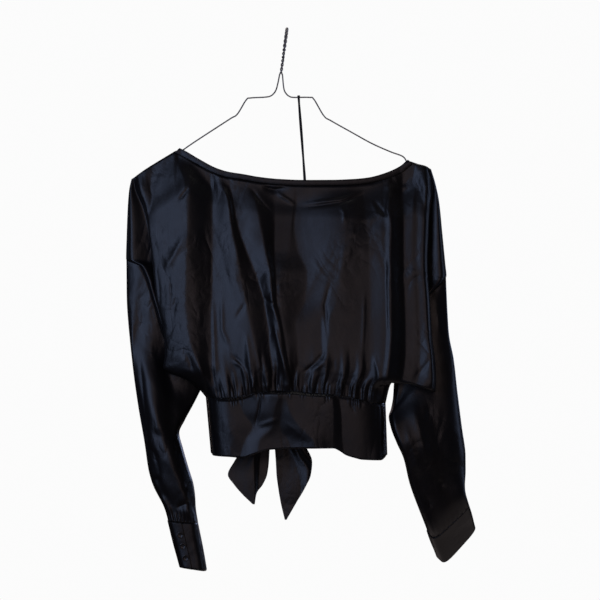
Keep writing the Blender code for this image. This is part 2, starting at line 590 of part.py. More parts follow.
def sleeve(side):
    around = 2 * (len(seam_levels(side)) - 1)
    turns = [i / around for i in range(around + 1)]
    if side == "right":
        turns = turns[::-1]
    rows = [0, 0.05, 0.11, 0.2, 0.3, 0.42, 0.54, 0.66, 0.78, 0.9, 1.0]
    return cloth("sleeve_" + side, "satin", turns, rows,
                 lambda turn, down: sleeve_point(side, turn, down), WALL, closed=True)


def cuff_point(side, turn, down, out):
    """turn: 0 at the outer edge, 0.5 at the inner edge, front first; out moves off the cuff's middle."""
    top, bottom = (np.array(ring, dtype=float) for ring in CUFF[side])
    ring = Ring(*(top + (bottom - top) * down))
    angle = 2 * math.pi * turn
    outer = np.array([ring.outer_x, ring.back, ring.outer_z])
    inner = np.array([ring.inner_x, ring.back, ring.inner_z])
    across = (inner - outer) / 2
    half = np.linalg.norm(across)
    across = across / half
    axis = cuff_axis(side)
    forward = np.cross(across, axis)
    forward = forward / np.linalg.norm(forward)
    if forward[1] > 0:
        forward = -forward
    middle = (outer + inner) / 2
    return (middle - across * (half + out) * math.cos(angle)
            + forward * (ring.depth + out) * math.sin(angle))


def cuff_axis(side):
    top, bottom = CUFF[side]
    start, end = (np.array([(ring.outer_x + ring.inner_x) / 2, ring.back, (ring.outer_z + ring.inner_z) / 2])
                  for ring in (top, bottom))
    return (end - start) / np.linalg.norm(end - start)


def cuff_girth(side):
    ring = CUFF[side][0]
    half = math.hypot(ring.inner_x - ring.outer_x, ring.inner_z - ring.outer_z) / 2
    deep = ring.depth
    return math.pi * (3 * (half + deep) - math.sqrt((3 * half + deep) * (half + 3 * deep)))


def cuff(side):
    """A strip wrapped once round the wrist, its end lapped over its start under the buttons."""
    lap = CUFF_OVERLAP / cuff_girth(side)
    end = BUTTON_ANGLE[side] / 360 + lap * 0.5
    turns = [end - (1 + lap) * (1 - i / 26) for i in range(27)]
    def place(turn, down):
        share = (turn - turns[0]) / (turns[-1] - turns[0])
        return cuff_point(side, turn, down, CUFF_LIFT * (share - 0.5))

    columns = turns if side == "left" else turns[::-1]
    return cloth("cuff_" + side, "satin", columns, [0, 0.5, 1], place, CUFF_WALL)


def cuff_buttons(side):
    """Small round buttons with a rim, in a row on the lapped end of the cuff."""
    for number, down in enumerate(BUTTON_PLACES, 1):
        turn = BUTTON_ANGLE[side] / 360
        seat = (CUFF_WALL + CUFF_LIFT) / 2 + 2 * SEAM_GAP
        foot = Vector(cuff_point(side, turn, down, seat))
        outer = Vector(cuff_point(side, turn, down, seat + 5)) - foot
        along = Vector(cuff_point(side, turn + 0.01, down, seat)) - foot
        up = Vector(cuff_axis(side))
        out = along.cross(up).normalized()
        if out.dot(outer) < 0:
            out = -out
        mesh = bmesh.new()
        bmesh.ops.create_cone(mesh, cap_ends=True, segments=10, radius1=BUTTON_RADIUS * MM,
                              radius2=BUTTON_RADIUS * MM * 0.93, depth=BUTTON_THICKNESS * MM)
        top = max(mesh.faces, key=lambda face: face.calc_center_median().z)
        bmesh.ops.inset_individual(mesh, faces=[top], thickness=1.1 * MM, depth=0)
        bmesh.ops.inset_individual(mesh, faces=[top], thickness=0.5 * MM, depth=-0.6 * MM)
        turned = out.to_track_quat("Z", "Y").to_matrix()
        bmesh.ops.rotate(mesh, verts=mesh.verts, matrix=turned)
        bmesh.ops.translate(mesh, verts=mesh.verts, vec=(foot + out * BUTTON_THICKNESS / 2) * MM)
        data = bpy.data.meshes.new("cuff_button")
        mesh.to_mesh(data)
        mesh.free()
        add_object("cuff_button_%s_%d" % (side, number), "button", data)


def band_outline(front, share):
    """Plan of the waistband at a share of the way from the left side seam to the right one."""
    left, right = WAIST[0].x, WAIST[-1].x
    x = left + (right - left) * share
    return x, (-1 if front else 1) * max(waist_depth(x), 0.2)


def band_shares(count):
    """Shares spaced evenly round half an oval."""
    return [(1 - math.cos(math.pi * i / count)) / 2 for i in range(count + 1)]


def band_point(front, share, down):
    x, y = band_outline(front, share)
    top = (line_at(WAIST, x) if front else back_waist(x)) - SEAM_GAP
    low_x = BAND_HEM[0].x + (BAND_HEM[-1].x - BAND_HEM[0].x) * share
    low = line_at(BAND_HEM, low_x) if front else back_hem(low_x)
    z = top + (low - top) * down
    wave = 1.6 * math.sin(9 * share + 1.5) * math.sin(math.pi * down)
    wave += 0.9 * math.sin(23 * share) * (1 - down)
    return np.array([x + (low_x - x) * down, y - (1 if front else -1) * wave * math.sin(math.pi * share), z])


def back_hem(x):
    return through((-108.5, -60.0, 15.0, 75.0, 143.0), (-604.0, -605.0, -600.0, -600.0, -607.0), x)


def waistband_front():
    return cloth("waistband_front", "satin", band_shares(26), [0, 0.5, 1],
                 lambda share, down: band_point(True, share, down), BAND_WALL, trim=trim_band_front)


def waistband_back(side):
    """Half of the waistband's back, drawn in to its tie at the knot."""
    width = WAIST[-1].x - WAIST[0].x
    knot_share = (KNOT["x"] - WAIST[0].x) / width
    beside_knot = (KNOT["wide"] + SEAM_GAP + 0.2) / width
    steps = np.linspace(0, 1, 13) ** 1.3
    if side == "left":
        shares = (knot_share - beside_knot) * (1 - steps)
    else:
        shares = knot_share + beside_knot + (1 - knot_share - beside_knot) * steps[::-1]

    def place(share, down):
        away = (abs(share - knot_share) - beside_knot) * width
        places = column(BACK_BAND, "away")
        top = through(places, column(BACK_BAND, "top"), away)
        bottom = through(places, column(BACK_BAND, "bottom"), away)
        near = ease(1 - away / 40)
        point = band_point(False, share, top + (bottom - top) * down)
        point[1] += 4.5 * near + 2.0 * math.sin(2 * math.pi * down) * near
        return point

    return cloth("waistband_back_" + side, "satin", shares, [0, 0.33, 0.67, 1], place, BAND_WALL,
                 trim=trim_band_back)


def neck_binding_front():
    """The folded strip round the neck: four sides, from corner to corner."""
    left_x, right_x = NECK_CORNER["left"], NECK_CORNER["right"]
    columns = [top_place(2 * i / GATHERS - 1) for i in range(GATHERS + 1)]
    low_places = [x for x in columns if left_x + 3 < x < right_x - 3]
    shares = [0, 0.012] + [(x - left_x) / (right_x - left_x) for x in low_places] + [0.988, 1]

    def ends(share):
        top_x = NECKLINE[1].x + (NECKLINE[-2].x - NECKLINE[1].x) * share
        top = np.array([top_x, 0, line_at(NECKLINE, top_x)])
        low_x = left_x + (right_x - left_x) * share
        slope = (top_height(low_x + 2) - top_height(low_x - 2)) / 4
        low = np.array([low_x, 0, top_height(low_x) + 1.5 * SEAM_GAP * math.hypot(1, slope)])
        return top, low

    def place(share, down):
        top, low = ends(share)
        point = top + (low - top) * down
        away = min(share, 1 - share) * BINDING_LENGTH
        point[1] = -max(neck_depth(point[0]) + 0.4, corner_depth(away, down))
        return point

    return cloth("neck_binding_front", "binding", shares, [0, 0.5, 1], place, 2 * WALL)


def corner_depth(away, down):
    """The bindings meet over the wire at the neck corner and pass either side of it below."""
    return 1.4 + 2.2 * min(1.0, ease(down / 0.45) + ease(away / 6))


def neck_binding_back(side):
    """The same strip down one edge of the open back, from the neck corner to the waist."""
    def place(down, across):
        level = down
        limit = binding_limit(side, level, 0)
        point = back_point(side, limit + (1 - limit) * across, level)
        point[1] = max(point[1] + 0.4, corner_depth(level * BINDING_LENGTH, 1 - across))
        return point

    levels = [0, 0.015, 0.05, 0.1, 0.15, 0.25, 0.35, 0.45, 0.55, 0.65, 0.75, 0.85, 0.92, 0.995]
    rows = [0, 0.5, 1] if side == "left" else [1, 0.5, 0]
    return cloth("neck_binding_back_" + side, "binding", levels, rows, place, 2 * WALL)


def knot_pinch(across):
    """The knot is narrower where one tie crosses the other; across is -1 to 1."""
    return 1 - 0.22 * math.exp(-(across / 0.35) ** 2)


def under_knot(x, y):
    """Height of the knot's underside."""
    across = (x - KNOT["x"]) / KNOT["wide"]
    along = (y - KNOT["y"]) / (KNOT["deep"] * (1 + KNOT_RIDGE))
    return KNOT["z"] - KNOT["high"] * knot_pinch(across) * math.sqrt(max(0.0, 1 - across ** 2 - along ** 2))


def tie_tail(side):
    """A pointed end of the waistband, hanging from the knot behind the hem."""
    rows = TIE_TAIL[side]
    heights = -column(rows, "z")
    sign = 1 if side == "left" else -1
    knotted = rows[0].z - rows[1].z

    def place(across, z):
        left = through(heights, column(rows, "x_left"), -z)
        right = through(heights, column(rows, "x_right"), -z)
        y = through(heights, column(rows, "y"), -z)
        pleat = 2.6 * math.sin(2 * math.pi * across * 1.5 + 0.6 * sign) * ease((z + 690) / 100)
        x = left + (right - left) * across
        lift = under_knot(x, y + pleat) - 3 * SEAM_GAP - rows[0].z
        return np.array([x, y + pleat, z + lift * ease((z - rows[1].z) / knotted)])

    levels = list(np.linspace(rows[0].z, rows[-1].z, 11))
    return cloth("tie_tail_" + side, "satin", [1 - i / 6 for i in range(7)], levels, place, TIE_WALL)


def tie_knot():
    """The flat knot of the two ties: a rounded lump with a waist where one tie crosses the other."""
    mesh = bmesh.new()
    bmesh.ops.create_uvsphere(mesh, u_segments=14, v_segments=8, radius=1)
    for vert in mesh.verts:
        pinch = knot_pinch(vert.co.x)
        ridge = 1 + KNOT_RIDGE * math.cos(5 * vert.co.z + 2 * vert.co.x)
        vert.co = Vector((KNOT["x"] + KNOT["wide"] * vert.co.x,
                          KNOT["y"] + KNOT["deep"] * vert.co.y * ridge,
                          KNOT["z"] + KNOT["high"] * vert.co.z * pinch)) * MM
    data = bpy.data.meshes.new("tie_knot")
    mesh.to_mesh(data)
    mesh.free()
    data.shade_smooth()
    return add_object("tie_knot", "satin", data)


def hanger_loop():
    """A narrow ribbon over the hanger's wire, both ends sewn inside the neckline."""
    inside = front_point((LOOP_FOOT.x - 10) / 205, 0.04)[1] + WALL / 2 + SEAM_GAP + LOOP_WALL / 2 + 0.4
    legs = [(inside, LOOP_FOOT.z), (inside, LOOP_FOOT.z + 10), (-3.6, -150), (-2.1, LOOP_TOP.z - 4),
            (-1.5, LOOP_TOP.z - 0.9), (0, LOOP_TOP.z), (1.5, LOOP_TOP.z - 0.9), (2.1, LOOP_TOP.z - 4),
            (-1.2, -150), (inside + 1.5, LOOP_FOOT.z + 10), (inside + 1.5, LOOP_FOOT.z)]
    stations = list(range(len(legs)))

    def place(across, number):
        y, z = legs[int(round(number))]
        share = (LOOP_TOP.z - z) / (LOOP_TOP.z - LOOP_FOOT.z)
        middle = LOOP_TOP.x + (LOOP_FOOT.x - LOOP_TOP.x) * share
        return np.array([middle + across * LOOP_WIDTH / 2, y, z])

    return cloth("hanger_loop", "ribbon", [-1, 1], stations, place, LOOP_WALL)


# ---------------------------------------------------------------- the hanger

def wire_object(name, points):
    curve = bpy.data.curves.new(name, "CURVE")
    curve.dimensions = "3D"
    curve.bevel_depth = WIRE_RADIUS * MM
    curve.bevel_resolution = 1
    curve.use_fill_caps = True
    line = curve.splines.new("POLY")
    line.points.add(len(points) - 1)
    for number, point in enumerate(points):
        line.points[number].co = (*(np.array(point) * MM), 1)
    made = add_object(name, "wire", curve)
    weld = made.modifiers.new("caps", "WELD")
    weld.merge_threshold = 0.00005
    return made


def hook_middle(distance):
    """The middle of the twisted pair, by distance from where the wires part: shank, bend and hook."""
    radius = HOOK_INNER_RADIUS + WIRE_RADIUS + STRAND_OFFSET
    centre = -HOOK_INNER_RADIUS
    start = -62.0
    path = [np.array(p, dtype=float) for p in
            ((0, start), (0, start + 8), (-0.6, start + 14), (-4.5, start + 20), (-10.5, start + 25.5))]
    first, last = math.radians(207), math.radians(-25)
    turns = 16
    for i in range(turns + 1):
        angle = first + (last - first) * i / turns
        path.append(np.array([math.cos(angle) * radius, centre + math.sin(angle) * radius]))
    lengths = [0.0]
    for a, b in zip(path, path[1:]):
        lengths.append(lengths[-1] + float(np.linalg.norm(b - a)))
    distance = min(distance, lengths[-1])
    number = float(np.interp(distance, lengths, range(len(path))))
    y, z = spline(path, number)
    top = centre + radius
    return np.array([(z - top) * math.tan(HOOK_LEAN), y, z]), lengths[-1]


def hook_strand(side):
    """One of the two wires that twist round each other to make the shank and hook."""
    points = []
    length = hook_middle(0)[1]
    steps = int(length / TWIST_PITCH * 6)
    phase = math.pi if side == "left" else 0.0
    for i in range(steps + 1):
        distance = length * i / steps
        middle, _ = hook_middle(distance)
        ahead, _ = hook_middle(min(distance + 0.5, length))
        behind, _ = hook_middle(max(distance - 0.5, 0))
        along = (ahead - behind) / np.linalg.norm(ahead - behind)
        beside = np.array([1.0, 0, 0]) - along * along[0]
        beside = beside / np.linalg.norm(beside)
        third = np.cross(along, beside)
        angle = phase + 2 * math.pi * distance / TWIST_PITCH
        points.append(middle + STRAND_OFFSET * (beside * math.cos(angle) + third * math.sin(angle)))
    return points


def hanger_wire(side):
    """A whole wire: its arm from the tip under the shoulder to the twist, then its strand of the hook."""
    open_part = [np.array([point.x, 0.0, point.z]) for point in HANGER_ARM[side]]
    covered = [np.array([place.x, 0.0, line_at(SHOULDER[side], place.x) - place.z])
               for place in HANGER_TIP[side]]
    curl = HANGER_CURL[side]
    arm = open_part + covered + [np.array([curl.x, 0.0, curl.z])]
    wire_object("hanger_wire_" + side, arm[::-1] + hook_strand(side))


def main():
    for old in list(bpy.data.objects):
        bpy.data.objects.remove(old, do_unlink=True)
    home = bpy.data.collections.new(COLLECTION)
    bpy.context.scene.collection.children.link(home)
    front_panel()
    waistband_front()
    neck_binding_front()
    hanger_loop()
    for side in ("left", "right"):
        back_panel(side)
        neck_binding_back(side)
        waistband_back(side)
        sleeve(side)
        cuff(side)
        cuff_buttons(side)
        tie_tail(side)
        hanger_wire(side)
    tie_knot()


main()
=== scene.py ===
"""A black satin crop top on its twisted-wire hanger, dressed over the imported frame.

Everything is made in the frame's own axes, in metres: +Z is up, the front of the top faces -Y, and
the origin is the highest point inside the hanger's hook. The tables below are in millimetres. A cloth
panel is a grid: "level" runs down it from 0 at the shoulder to 1 at the waist seam, and "across" runs
from side to side.
"""

import math

import bmesh
import bpy
import numpy as np
from bpy.props import FloatProperty, FloatVectorProperty, IntProperty, PointerProperty
from mathutils import Matrix, Vector


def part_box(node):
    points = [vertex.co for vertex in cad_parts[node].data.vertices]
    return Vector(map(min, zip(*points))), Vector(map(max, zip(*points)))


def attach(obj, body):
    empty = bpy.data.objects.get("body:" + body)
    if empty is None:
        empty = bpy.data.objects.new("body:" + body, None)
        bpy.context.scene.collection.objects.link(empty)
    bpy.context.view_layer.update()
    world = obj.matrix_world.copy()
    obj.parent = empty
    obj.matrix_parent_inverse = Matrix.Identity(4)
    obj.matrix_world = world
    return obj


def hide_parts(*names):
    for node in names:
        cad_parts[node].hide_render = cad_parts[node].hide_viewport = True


bl_info = {
    "name": "Satin crop top",
    "version": (1, 0, 0),
    "blender": (4, 5, 0),
    "location": "View3D > Sidebar > Crop top",
    "description": "Dresses a satin crop top and its wire hanger over the packed solids",
    "category": "Add Mesh",
}

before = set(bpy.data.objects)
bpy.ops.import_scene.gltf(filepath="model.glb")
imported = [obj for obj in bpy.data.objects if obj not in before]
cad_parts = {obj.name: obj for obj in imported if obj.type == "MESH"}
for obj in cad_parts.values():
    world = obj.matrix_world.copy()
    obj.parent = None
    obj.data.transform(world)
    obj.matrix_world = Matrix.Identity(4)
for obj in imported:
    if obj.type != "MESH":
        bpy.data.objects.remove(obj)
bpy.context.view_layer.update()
MM = 0.001
SIDES = ("left", "right")


def table(names, *rows):
    """Columns of numbers by name."""
    return {name: np.array(column, dtype=float) for name, column in zip(names.split(), zip(*rows))}


def pair(names, left, right):
    """A table for each side."""
    return {"left": table(names, *left), "right": table(names, *right)}


# ---- sides of the bodice, by level: its outer edge, the tuck behind that, and where the panel ends ----
LOBE = pair(
    "level x y z",
    left=((0, -217, 0.4, -209.3), (0.05, -212, 6.5, -228), (0.11, -201.6, 12, -254.4),
        (0.2, -197.3, 17, -286), (0.32, -192.3, 21, -326), (0.48, -185.9, 25, -381.7),
        (0.62, -175.9, 28, -429), (0.72, -173, 29, -457.5), (0.8, -175.9, 27, -481.8),
        (0.85, -167.3, 25, -489.7), (0.9, -147.3, 19, -497.5), (0.96, -123.8, 12, -513.3),
        (1, -113.4, 8.5, -524.7)),
    right=((0, 202.5, 0.4, -196.6), (0.05, 205, 6.5, -228), (0.11, 203.1, 12, -254.4),
        (0.2, 201.6, 17, -293), (0.32, 200.2, 21, -331.7), (0.48, 203.1, 25, -386), (0.62, 205.9, 28, -436),
        (0.72, 210.2, 29, -472), (0.8, 211.6, 29, -499), (0.85, 210.2, 27, -517), (0.9, 186, 22, -508.5),
        (0.93, 165, 18, -501), (0.96, 148.5, 13, -503.5), (1, 138.1, 8.5, -534.7)))
TROUGH = pair(
    "level x y z",
    left=((0, -219.5, 0.4, -210.9), (0.05, -214, 3, -229), (0.11, -199, 5, -255), (0.2, -187, 7, -289),
        (0.32, -177, 8.5, -330), (0.48, -166, 9.5, -386), (0.62, -155, 10, -433), (0.72, -149, 10, -461),
        (0.8, -141, 9.5, -482), (0.85, -134.5, 8.5, -495), (0.9, -126.8, 6.5, -507),
        (0.96, -120.6, 5.2, -517), (1, -115.2, 4.5, -524.7)),
    right=((0, 204.2, 0.4, -197.6), (0.05, 207, 3, -227), (0.11, 201, 5, -253), (0.2, 192, 7, -294),
        (0.32, 184, 8.5, -336), (0.48, 176, 9.5, -390), (0.62, 168, 10, -434), (0.72, 162, 10, -462),
        (0.8, 157.5, 9.5, -479), (0.85, 154, 8.5, -487), (0.9, 151.5, 7, -494), (0.96, 146.5, 5.4, -508),
        (1, 139.9, 4.5, -534.7)))
ARM_END = pair(
    "level x y z",
    left=((0, -222.4, 0.4, -212.7), (0.05, -225.8, 0.8, -229), (0.11, -227.8, 0.8, -254),
        (0.2, -229.2, 0.8, -290), (0.32, -230.2, 0.8, -327.4), (0.36, -212, 5.5, -336),
        (0.48, -192.5, 7.5, -386), (0.62, -178.5, 8, -431), (0.72, -165.5, 8, -460), (0.8, -152, 7.5, -483),
        (0.85, -141.5, 6, -496.5), (0.9, -131, 3, -508), (0.93, -124.4, 0.8, -514.6),
        (1, -115.8, 0.8, -524.7)),
    right=((0, 205.9, 0.4, -198.7), (0.05, 212.6, 0.8, -221), (0.11, 217.6, 0.8, -246),
        (0.2, 222.2, 0.8, -291), (0.32, 227, 0.8, -340), (0.36, 228.1, 0.8, -350.5), (0.48, 200, 7.5, -384),
        (0.62, 182, 8, -430), (0.72, 171.5, 8, -459), (0.8, 165, 7.5, -475.5), (0.85, 161.5, 6, -483.5),
        (0.9, 158.5, 3, -491), (0.93, 155, 0.8, -497.5), (0.96, 147, 0.8, -508.5), (1, 140.5, 0.8, -534.7)))
# Levels of the armhole
SLEEVE_SEAM = {"left": (0.32, 0.93), "right": (0.36, 0.93)}
BACK_EDGE = pair(
    "level x y z",
    left=((0, -153.7, 0.4, -168.6), (0.05, -145.5, 4.5, -190), (0.15, -133, 8, -222),
        (0.35, -108, 18, -293), (0.6, -79, 32, -384), (0.85, -56, 46, -468), (1, -50, 50, -521)),
    right=((0, 173, 0.4, -185.2), (0.05, 163, 4.5, -207), (0.15, 147, 8, -237), (0.35, 110, 18, -303),
        (0.6, 67, 32, -389), (0.85, 25, 46, -470), (1, 12, 50, -521)))

# ---- lines across the top and the waist ----
SHOULDER = pair(
    "x z",
    left=((-222.4, -212.7), (-216.2, -208), (-200.8, -197.2), (-174.5, -181), (-153.7, -168.6),
        (-120, -148)),
    right=((140, -171), (173, -185.2), (182.6, -189.8), (198.2, -194), (205.9, -198.7)))
NECKLINE = table(
    "x z", (-175, -160), (-153.7, -168.6), (-143.3, -173.9), (-127.8, -183.2), (-101.5, -197.2),
    (-84.4, -202.7), (-62.9, -206.2), (-39.3, -210.4), (-10, -213.4), (24.3, -214.7), (64.3, -214.5),
    (92.5, -213.4), (115.8, -211.1), (138.7, -205), (161.6, -194.6), (173, -185.2), (190, -170))
WAIST = table(
    "x z", (-115.8, -524.7), (-86.5, -526.1), (-68.6, -523.9), (-53.2, -520.8), (-21.4, -516.6),
    (5.7, -516.1), (29.7, -519), (65.8, -521.4), (89.8, -525), (104, -528.6), (123, -533.9),
    (140.5, -534.7))
BAND_HEM = table(
    "x z", (-108.5, -604), (-104.4, -607.4), (-80.5, -608.7), (-62.9, -610), (-47.3, -605.1), (-26, -598.5),
    (4.3, -596.8), (65.8, -596.2), (74.4, -599.8), (83.8, -606), (95.7, -609.8), (107.2, -612.5),
    (132.4, -613.5), (143, -607))
BACK_WAIST = table(
    "x z", (-115.8, -524.7), (-90, -523), (-18, -521), (110, -527), (140.5, -534.7))
BACK_HEM = table(
    "x z", (-108.5, -604), (-60, -605), (15, -600), (75, -600), (143, -607))
NECK_CORNER = {"left": -161.2, "right": 180}
# Depth of the front at its middle, and how boxy its oval is
BODY = table(
    "level depth square", (0, 12, 2.4), (0.1, 17, 2.6), (0.25, 24, 3), (0.5, 33, 3), (0.75, 41, 3.2),
    (0.9, 44, 5.5), (1, 44, 9))

# ---- hanging pleats: each ridge or hollow crosses these heights at these places, from left to right ----
FRONT_PLEAT_Z = (-222, -250, -279, -314, -350, -386, -422, -458, -493, -522)
FRONT_PLEATS = (
    (0, (-206, -201, -197, -192, -188, -184, -177, -173, -165, -140)),
    (4.5, (-139, -140, -141, -142, -143, -144, -141, -134, -122, -117)),
    (-4.5, (-109, -107, -107, -107, -107, -107, -107, -106, -104, -103)),
    (4, (-92, -82, -79, -72, -66, -58, -51, -43, -34, -30)),
    (-1.5, (-82, -77, -71, -59, -44, -33, -27, -24, -19, -16)),
    ((3, 3.5, 4, 4.5, 5.5, 6, 5.5, 5, 5, 5),
     (-52.9, -43.4, -37.4, -30.3, -23.1, -20.7, -11.2, -4.8, 1.9, 6.7)),
    ((-1, -2.5, -3.5, -3.2, 0.5, 2.5, 3, 3, 2, 2),
     (-17.2, -18.3, -17.6, -18.3, -16.7, -14.3, -7.1, -1.2, 4.8, 9.5)),
    ((-1.2, -3, -4, -3.4, 0.6, 2.5, 3, 3, 2, 2),
     (11, 9.5, 6.2, 1.4, -10, -10, -4.1, 1.4, 7.1, 11.9)),
    ((-1.6, -3.6, -4.8, -4.6, -2.7, -2.2, 0.5, 1.5, 1, 1),
     (13.8, 12.4, 9.5, 15, 28.1, 25.3, 11.9, 16.2, 16.7, 19.1)),
    ((4, 4.8, 4.8, 3.8, -0.1, -2, 0.5, 1.5, 1, 1),
     (75.8, 76.3, 77, 69.8, 44.8, 28.6, 15, 18.1, 19.1, 21.4)),
    ((4.2, 4.9, 5, 4.7, 2, 1.2, 0.5, 1.2, 1, 1),
     (78.2, 78.6, 79.4, 75.8, 62.7, 54.8, 48.4, 49.6, 47.2, 44.8)),
    ((4.2, 4.8, 5.2, 5.4, 3.5, 2.8, 3.4, 3.6, 2.5, 1.5),
     (85.3, 86.5, 85.3, 81.7, 77, 72.2, 57.9, 57.9, 56.7, 56.7)),
    ((1.6, 2, 2.2, 2.4, 1.8, 1.4, 2, 2.4, 1.5, 1), (108, 110, 113, 116, 117, 118, 117, 117, 117, 115)),
    (5.4, (136, 138, 138, 139, 140, 141, 141, 139, 134, 130)),
    (8, (146, 147, 148, 147, 147, 148, 148, 146, 142, 137)),
    (-1.5, (164, 165, 166, 166, 166, 167, 168, 168, 164, 152)),
    (0.5, (184, 184, 184, 183, 184, 186, 187, 188, 186, 166)),
    ((3.8, 3.8, 3.8, 3.8, 3.8, 3.8, 4.4, 7, 7.4, 3.6), (196, 195, 195, 194, 196, 199, 201, 204, 205, 182)),
    ((5.8, 5.8, 5.8, 5.8, 5.8, 5.8, 6.2, 8.8, 9.2, 4.6), (207, 205, 204, 202, 204, 206, 208, 211, 212, 190)))
BACK_PLEAT_Z = (-220, -300, -380, -450, -520)
BACK_PLEATS = {
    "left": ((0, (-206, -195, -184, -173, -130)), (4, (-186, -176, -160, -148, -118)),
             (-3.5, (-172, -158, -142, -130, -106)), (4.5, (-158, -140, -120, -108, -92)),
             (-3, (-146, -124, -104, -90, -78)), (3.5, (-138, -114, -90, -72, -64)),
             (0, (-132, -104, -78, -60, -50))),
    "right": ((0, (150, 106, 72, 38, 12)), (3.5, (160, 124, 92, 60, 34)),
              (-3.5, (168, 138, 112, 82, 56)), (4, (176, 152, 130, 106, 82)),
              (-3, (184, 166, 148, 130, 104)), (4, (194, 182, 170, 158, 124)),
              (0, (206, 203, 204, 210, 150)))}

# ---- smaller creases: a line through three points, its half width and its height (- is a hollow) ----
CREASE = "x1 z1 x2 z2 x3 z3 width height"
FRONT_CREASES = table(
    CREASE, (-139, -224, -146, -234, -155, -246, 2.2, -1.1),
    (-143, -204, -135, -210, -127, -217, 2.4, -0.4), (-143, -289, -160, -320, -179, -353, 5, 1),
    (-162, -413, -159, -390, -155, -381, 2.4, -0.9), (-38, -221, -18, -228, 6, -222, 5, -2),
    (-15, -233, -2, -241, 13, -251, 2.2, 0.9), (13, -251, 76, -243, 114, -230, 2.2, 1),
    (14, -255, 76, -247, 114, -234, 2.4, -1), (-55, -222, -38, -245, -19, -267, 2.2, -0.9),
    (123, -243, 134, -257, 145, -271, 2.2, -0.8), (146, -233, 143, -257, 148, -286, 2, 0.8),
    (76, -252, 82, -262, 82, -281, 2.2, 0.7), (143, -326, 144, -386, 145, -446, 1.8, 0.8),
    (123, -460, 129, -490, 133, -517, 2.2, 1), (21, -491, 40, -476, 57, -456, 2.4, -1.1),
    (38, -486, 48, -478, 57, -467, 3.2, 1), (63, -355, 54, -393, 59, -455, 2, -0.9),
    (-36, -380, -24, -390, -10, -397, 2.2, -1.1), (-22, -407, -11, -450, 3, -512, 2.8, 1.5),
    (-93, -372, -92, -429, -79, -460, 3, 0.8), (-82, -469, -63, -480, -57, -508, 3, 1),
    (-59, -429, -54, -460, -50, -495, 3, 0.8), (-54, -526, -46, -500, -36, -526, 3.4, 1),
    (110, -365, 109, -420, 106, -470, 2, 0.6), (-106, -372, -103, -450, -100, -525, 2.4, 0.8),
    (-146, -453, -137, -472, -132, -493, 4, -1.2), (-129, -458, -117, -500, -116, -518, 3.4, 1.2),
    (177, -500, 195, -482, 209, -461, 2.2, -0.8), (137, -224, 159, -226, 179, -224, 3.4, 0.8),
    (-79, -462, -67, -474, -57, -486, 2.2, -0.8), (-58, -388, -64, -400, -74, -414, 2.4, -0.7),
    (120, -240, 128, -262, 146, -272, 2.2, 0.5))
BAND_FOLD_Z = (-525, -545, -565, -585, -606)
BAND_FOLDS = (
    (1.4, (-112, -111, -109, -108, -106)), (-1.8, (-94, -93, -92, -91, -90)),
    (-3.6, (-68, -62, -49, -60, -66)), ((6, 4.4, 2, 0.6, 0.6), (-12, -18, -20, -38, -42)),
    ((5.4, 3.8, 1.4, 0, 0), (-6, -8, -10, 2, 6)), ((5.6, 6, 6.2, 6.4, 7), (0, 5, 18, 38, 46)),
    (2.6, (64, 66, 66, 65, 64)), (-1.2, (74, 77, 78, 79, 82)),
    (-0.6, (104, 106, 110, 112, 114)), (0, (126, 127, 127, 124, 119)),
    ((5.4, 5.4, 5.6, 6.4, 7.4), (139, 140, 140, 141, 141)), (7, (145, 146, 146, 147, 147)))
BAND_CREASES = table(
    CREASE, (-36, -519, -40, -545, -46, -566, 1.8, -1), (-45, -566, -28, -560, -10, -554, 2.4, 0.8),
    (-10, -554, 12, -570, 36, -590, 3.6, 0.3), (89, -529, 93, -538, 97, -548, 2.4, -0.8),
    (-89, -560, -88, -575, -86, -600, 2.4, 0.3))
SLEEVE_CREASES = pair(
    CREASE,
    left=((-212, -450, -203, -529, -194, -593, 4, -1.2), (-190, -593, -184, -618, -178, -646, 5, -1.2),
        (-197, -641, -187, -642, -177, -641, 4.3, -1.4), (-182, -661, -170, -678, -160, -698, 4.3, 1.3),
        (-130, -641, -139, -649, -150, -658, 4.3, -1.3), (-130, -669, -144, -676, -160, -683, 4.3, -1.3),
        (-193, -458, -173, -529, -159, -586, 8.6, 0.5), (-196, -572, -174, -583, -150, -580, 7.1, -1.2)),
    right=((179, -529, 190, -579, 204, -629, 10, 2.2), (204, -529, 202, -549, 200, -568, 4.3, -1.2),
        (213, -372, 216, -407, 219, -443, 5.7, 1.4), (214, -643, 220, -649, 226, -643, 4.3, -1),
        (197, -665, 203, -675, 207, -683, 4.3, -1.2), (167, -558, 179, -600, 196, -658, 7.1, 1.4),
        (227, -500, 233, -558, 239, -629, 8.6, 0.5)))
# Long folds along each sleeve: place round it at the top and at the cuff (0 is the outer edge, front first)
SLEEVE_FOLDS = pair(
    "top low width height",
    left=((0.06, 0.16, 0.055, -2.6), (0.19, 0.36, 0.065, 3.6), (0.29, 0.46, 0.05, -2.6),
        (0.62, 0.6, 0.04, 2), (0.74, 0.72, 0.04, -2), (0.86, 0.84, 0.04, 1.8)),
    right=((0.1, 0.12, 0.035, 0.4), (0.22, 0.22, 0.045, -1.2), (0.45, 0.45, 0.06, 6),
        (0.6, 0.63, 0.04, 1.8), (0.72, 0.74, 0.04, -2), (0.84, 0.83, 0.04, 1.8)))
# How far each sleeve is twisted towards the front
SLEEVE_TURN = {"left": 0.05, "right": 0.22}

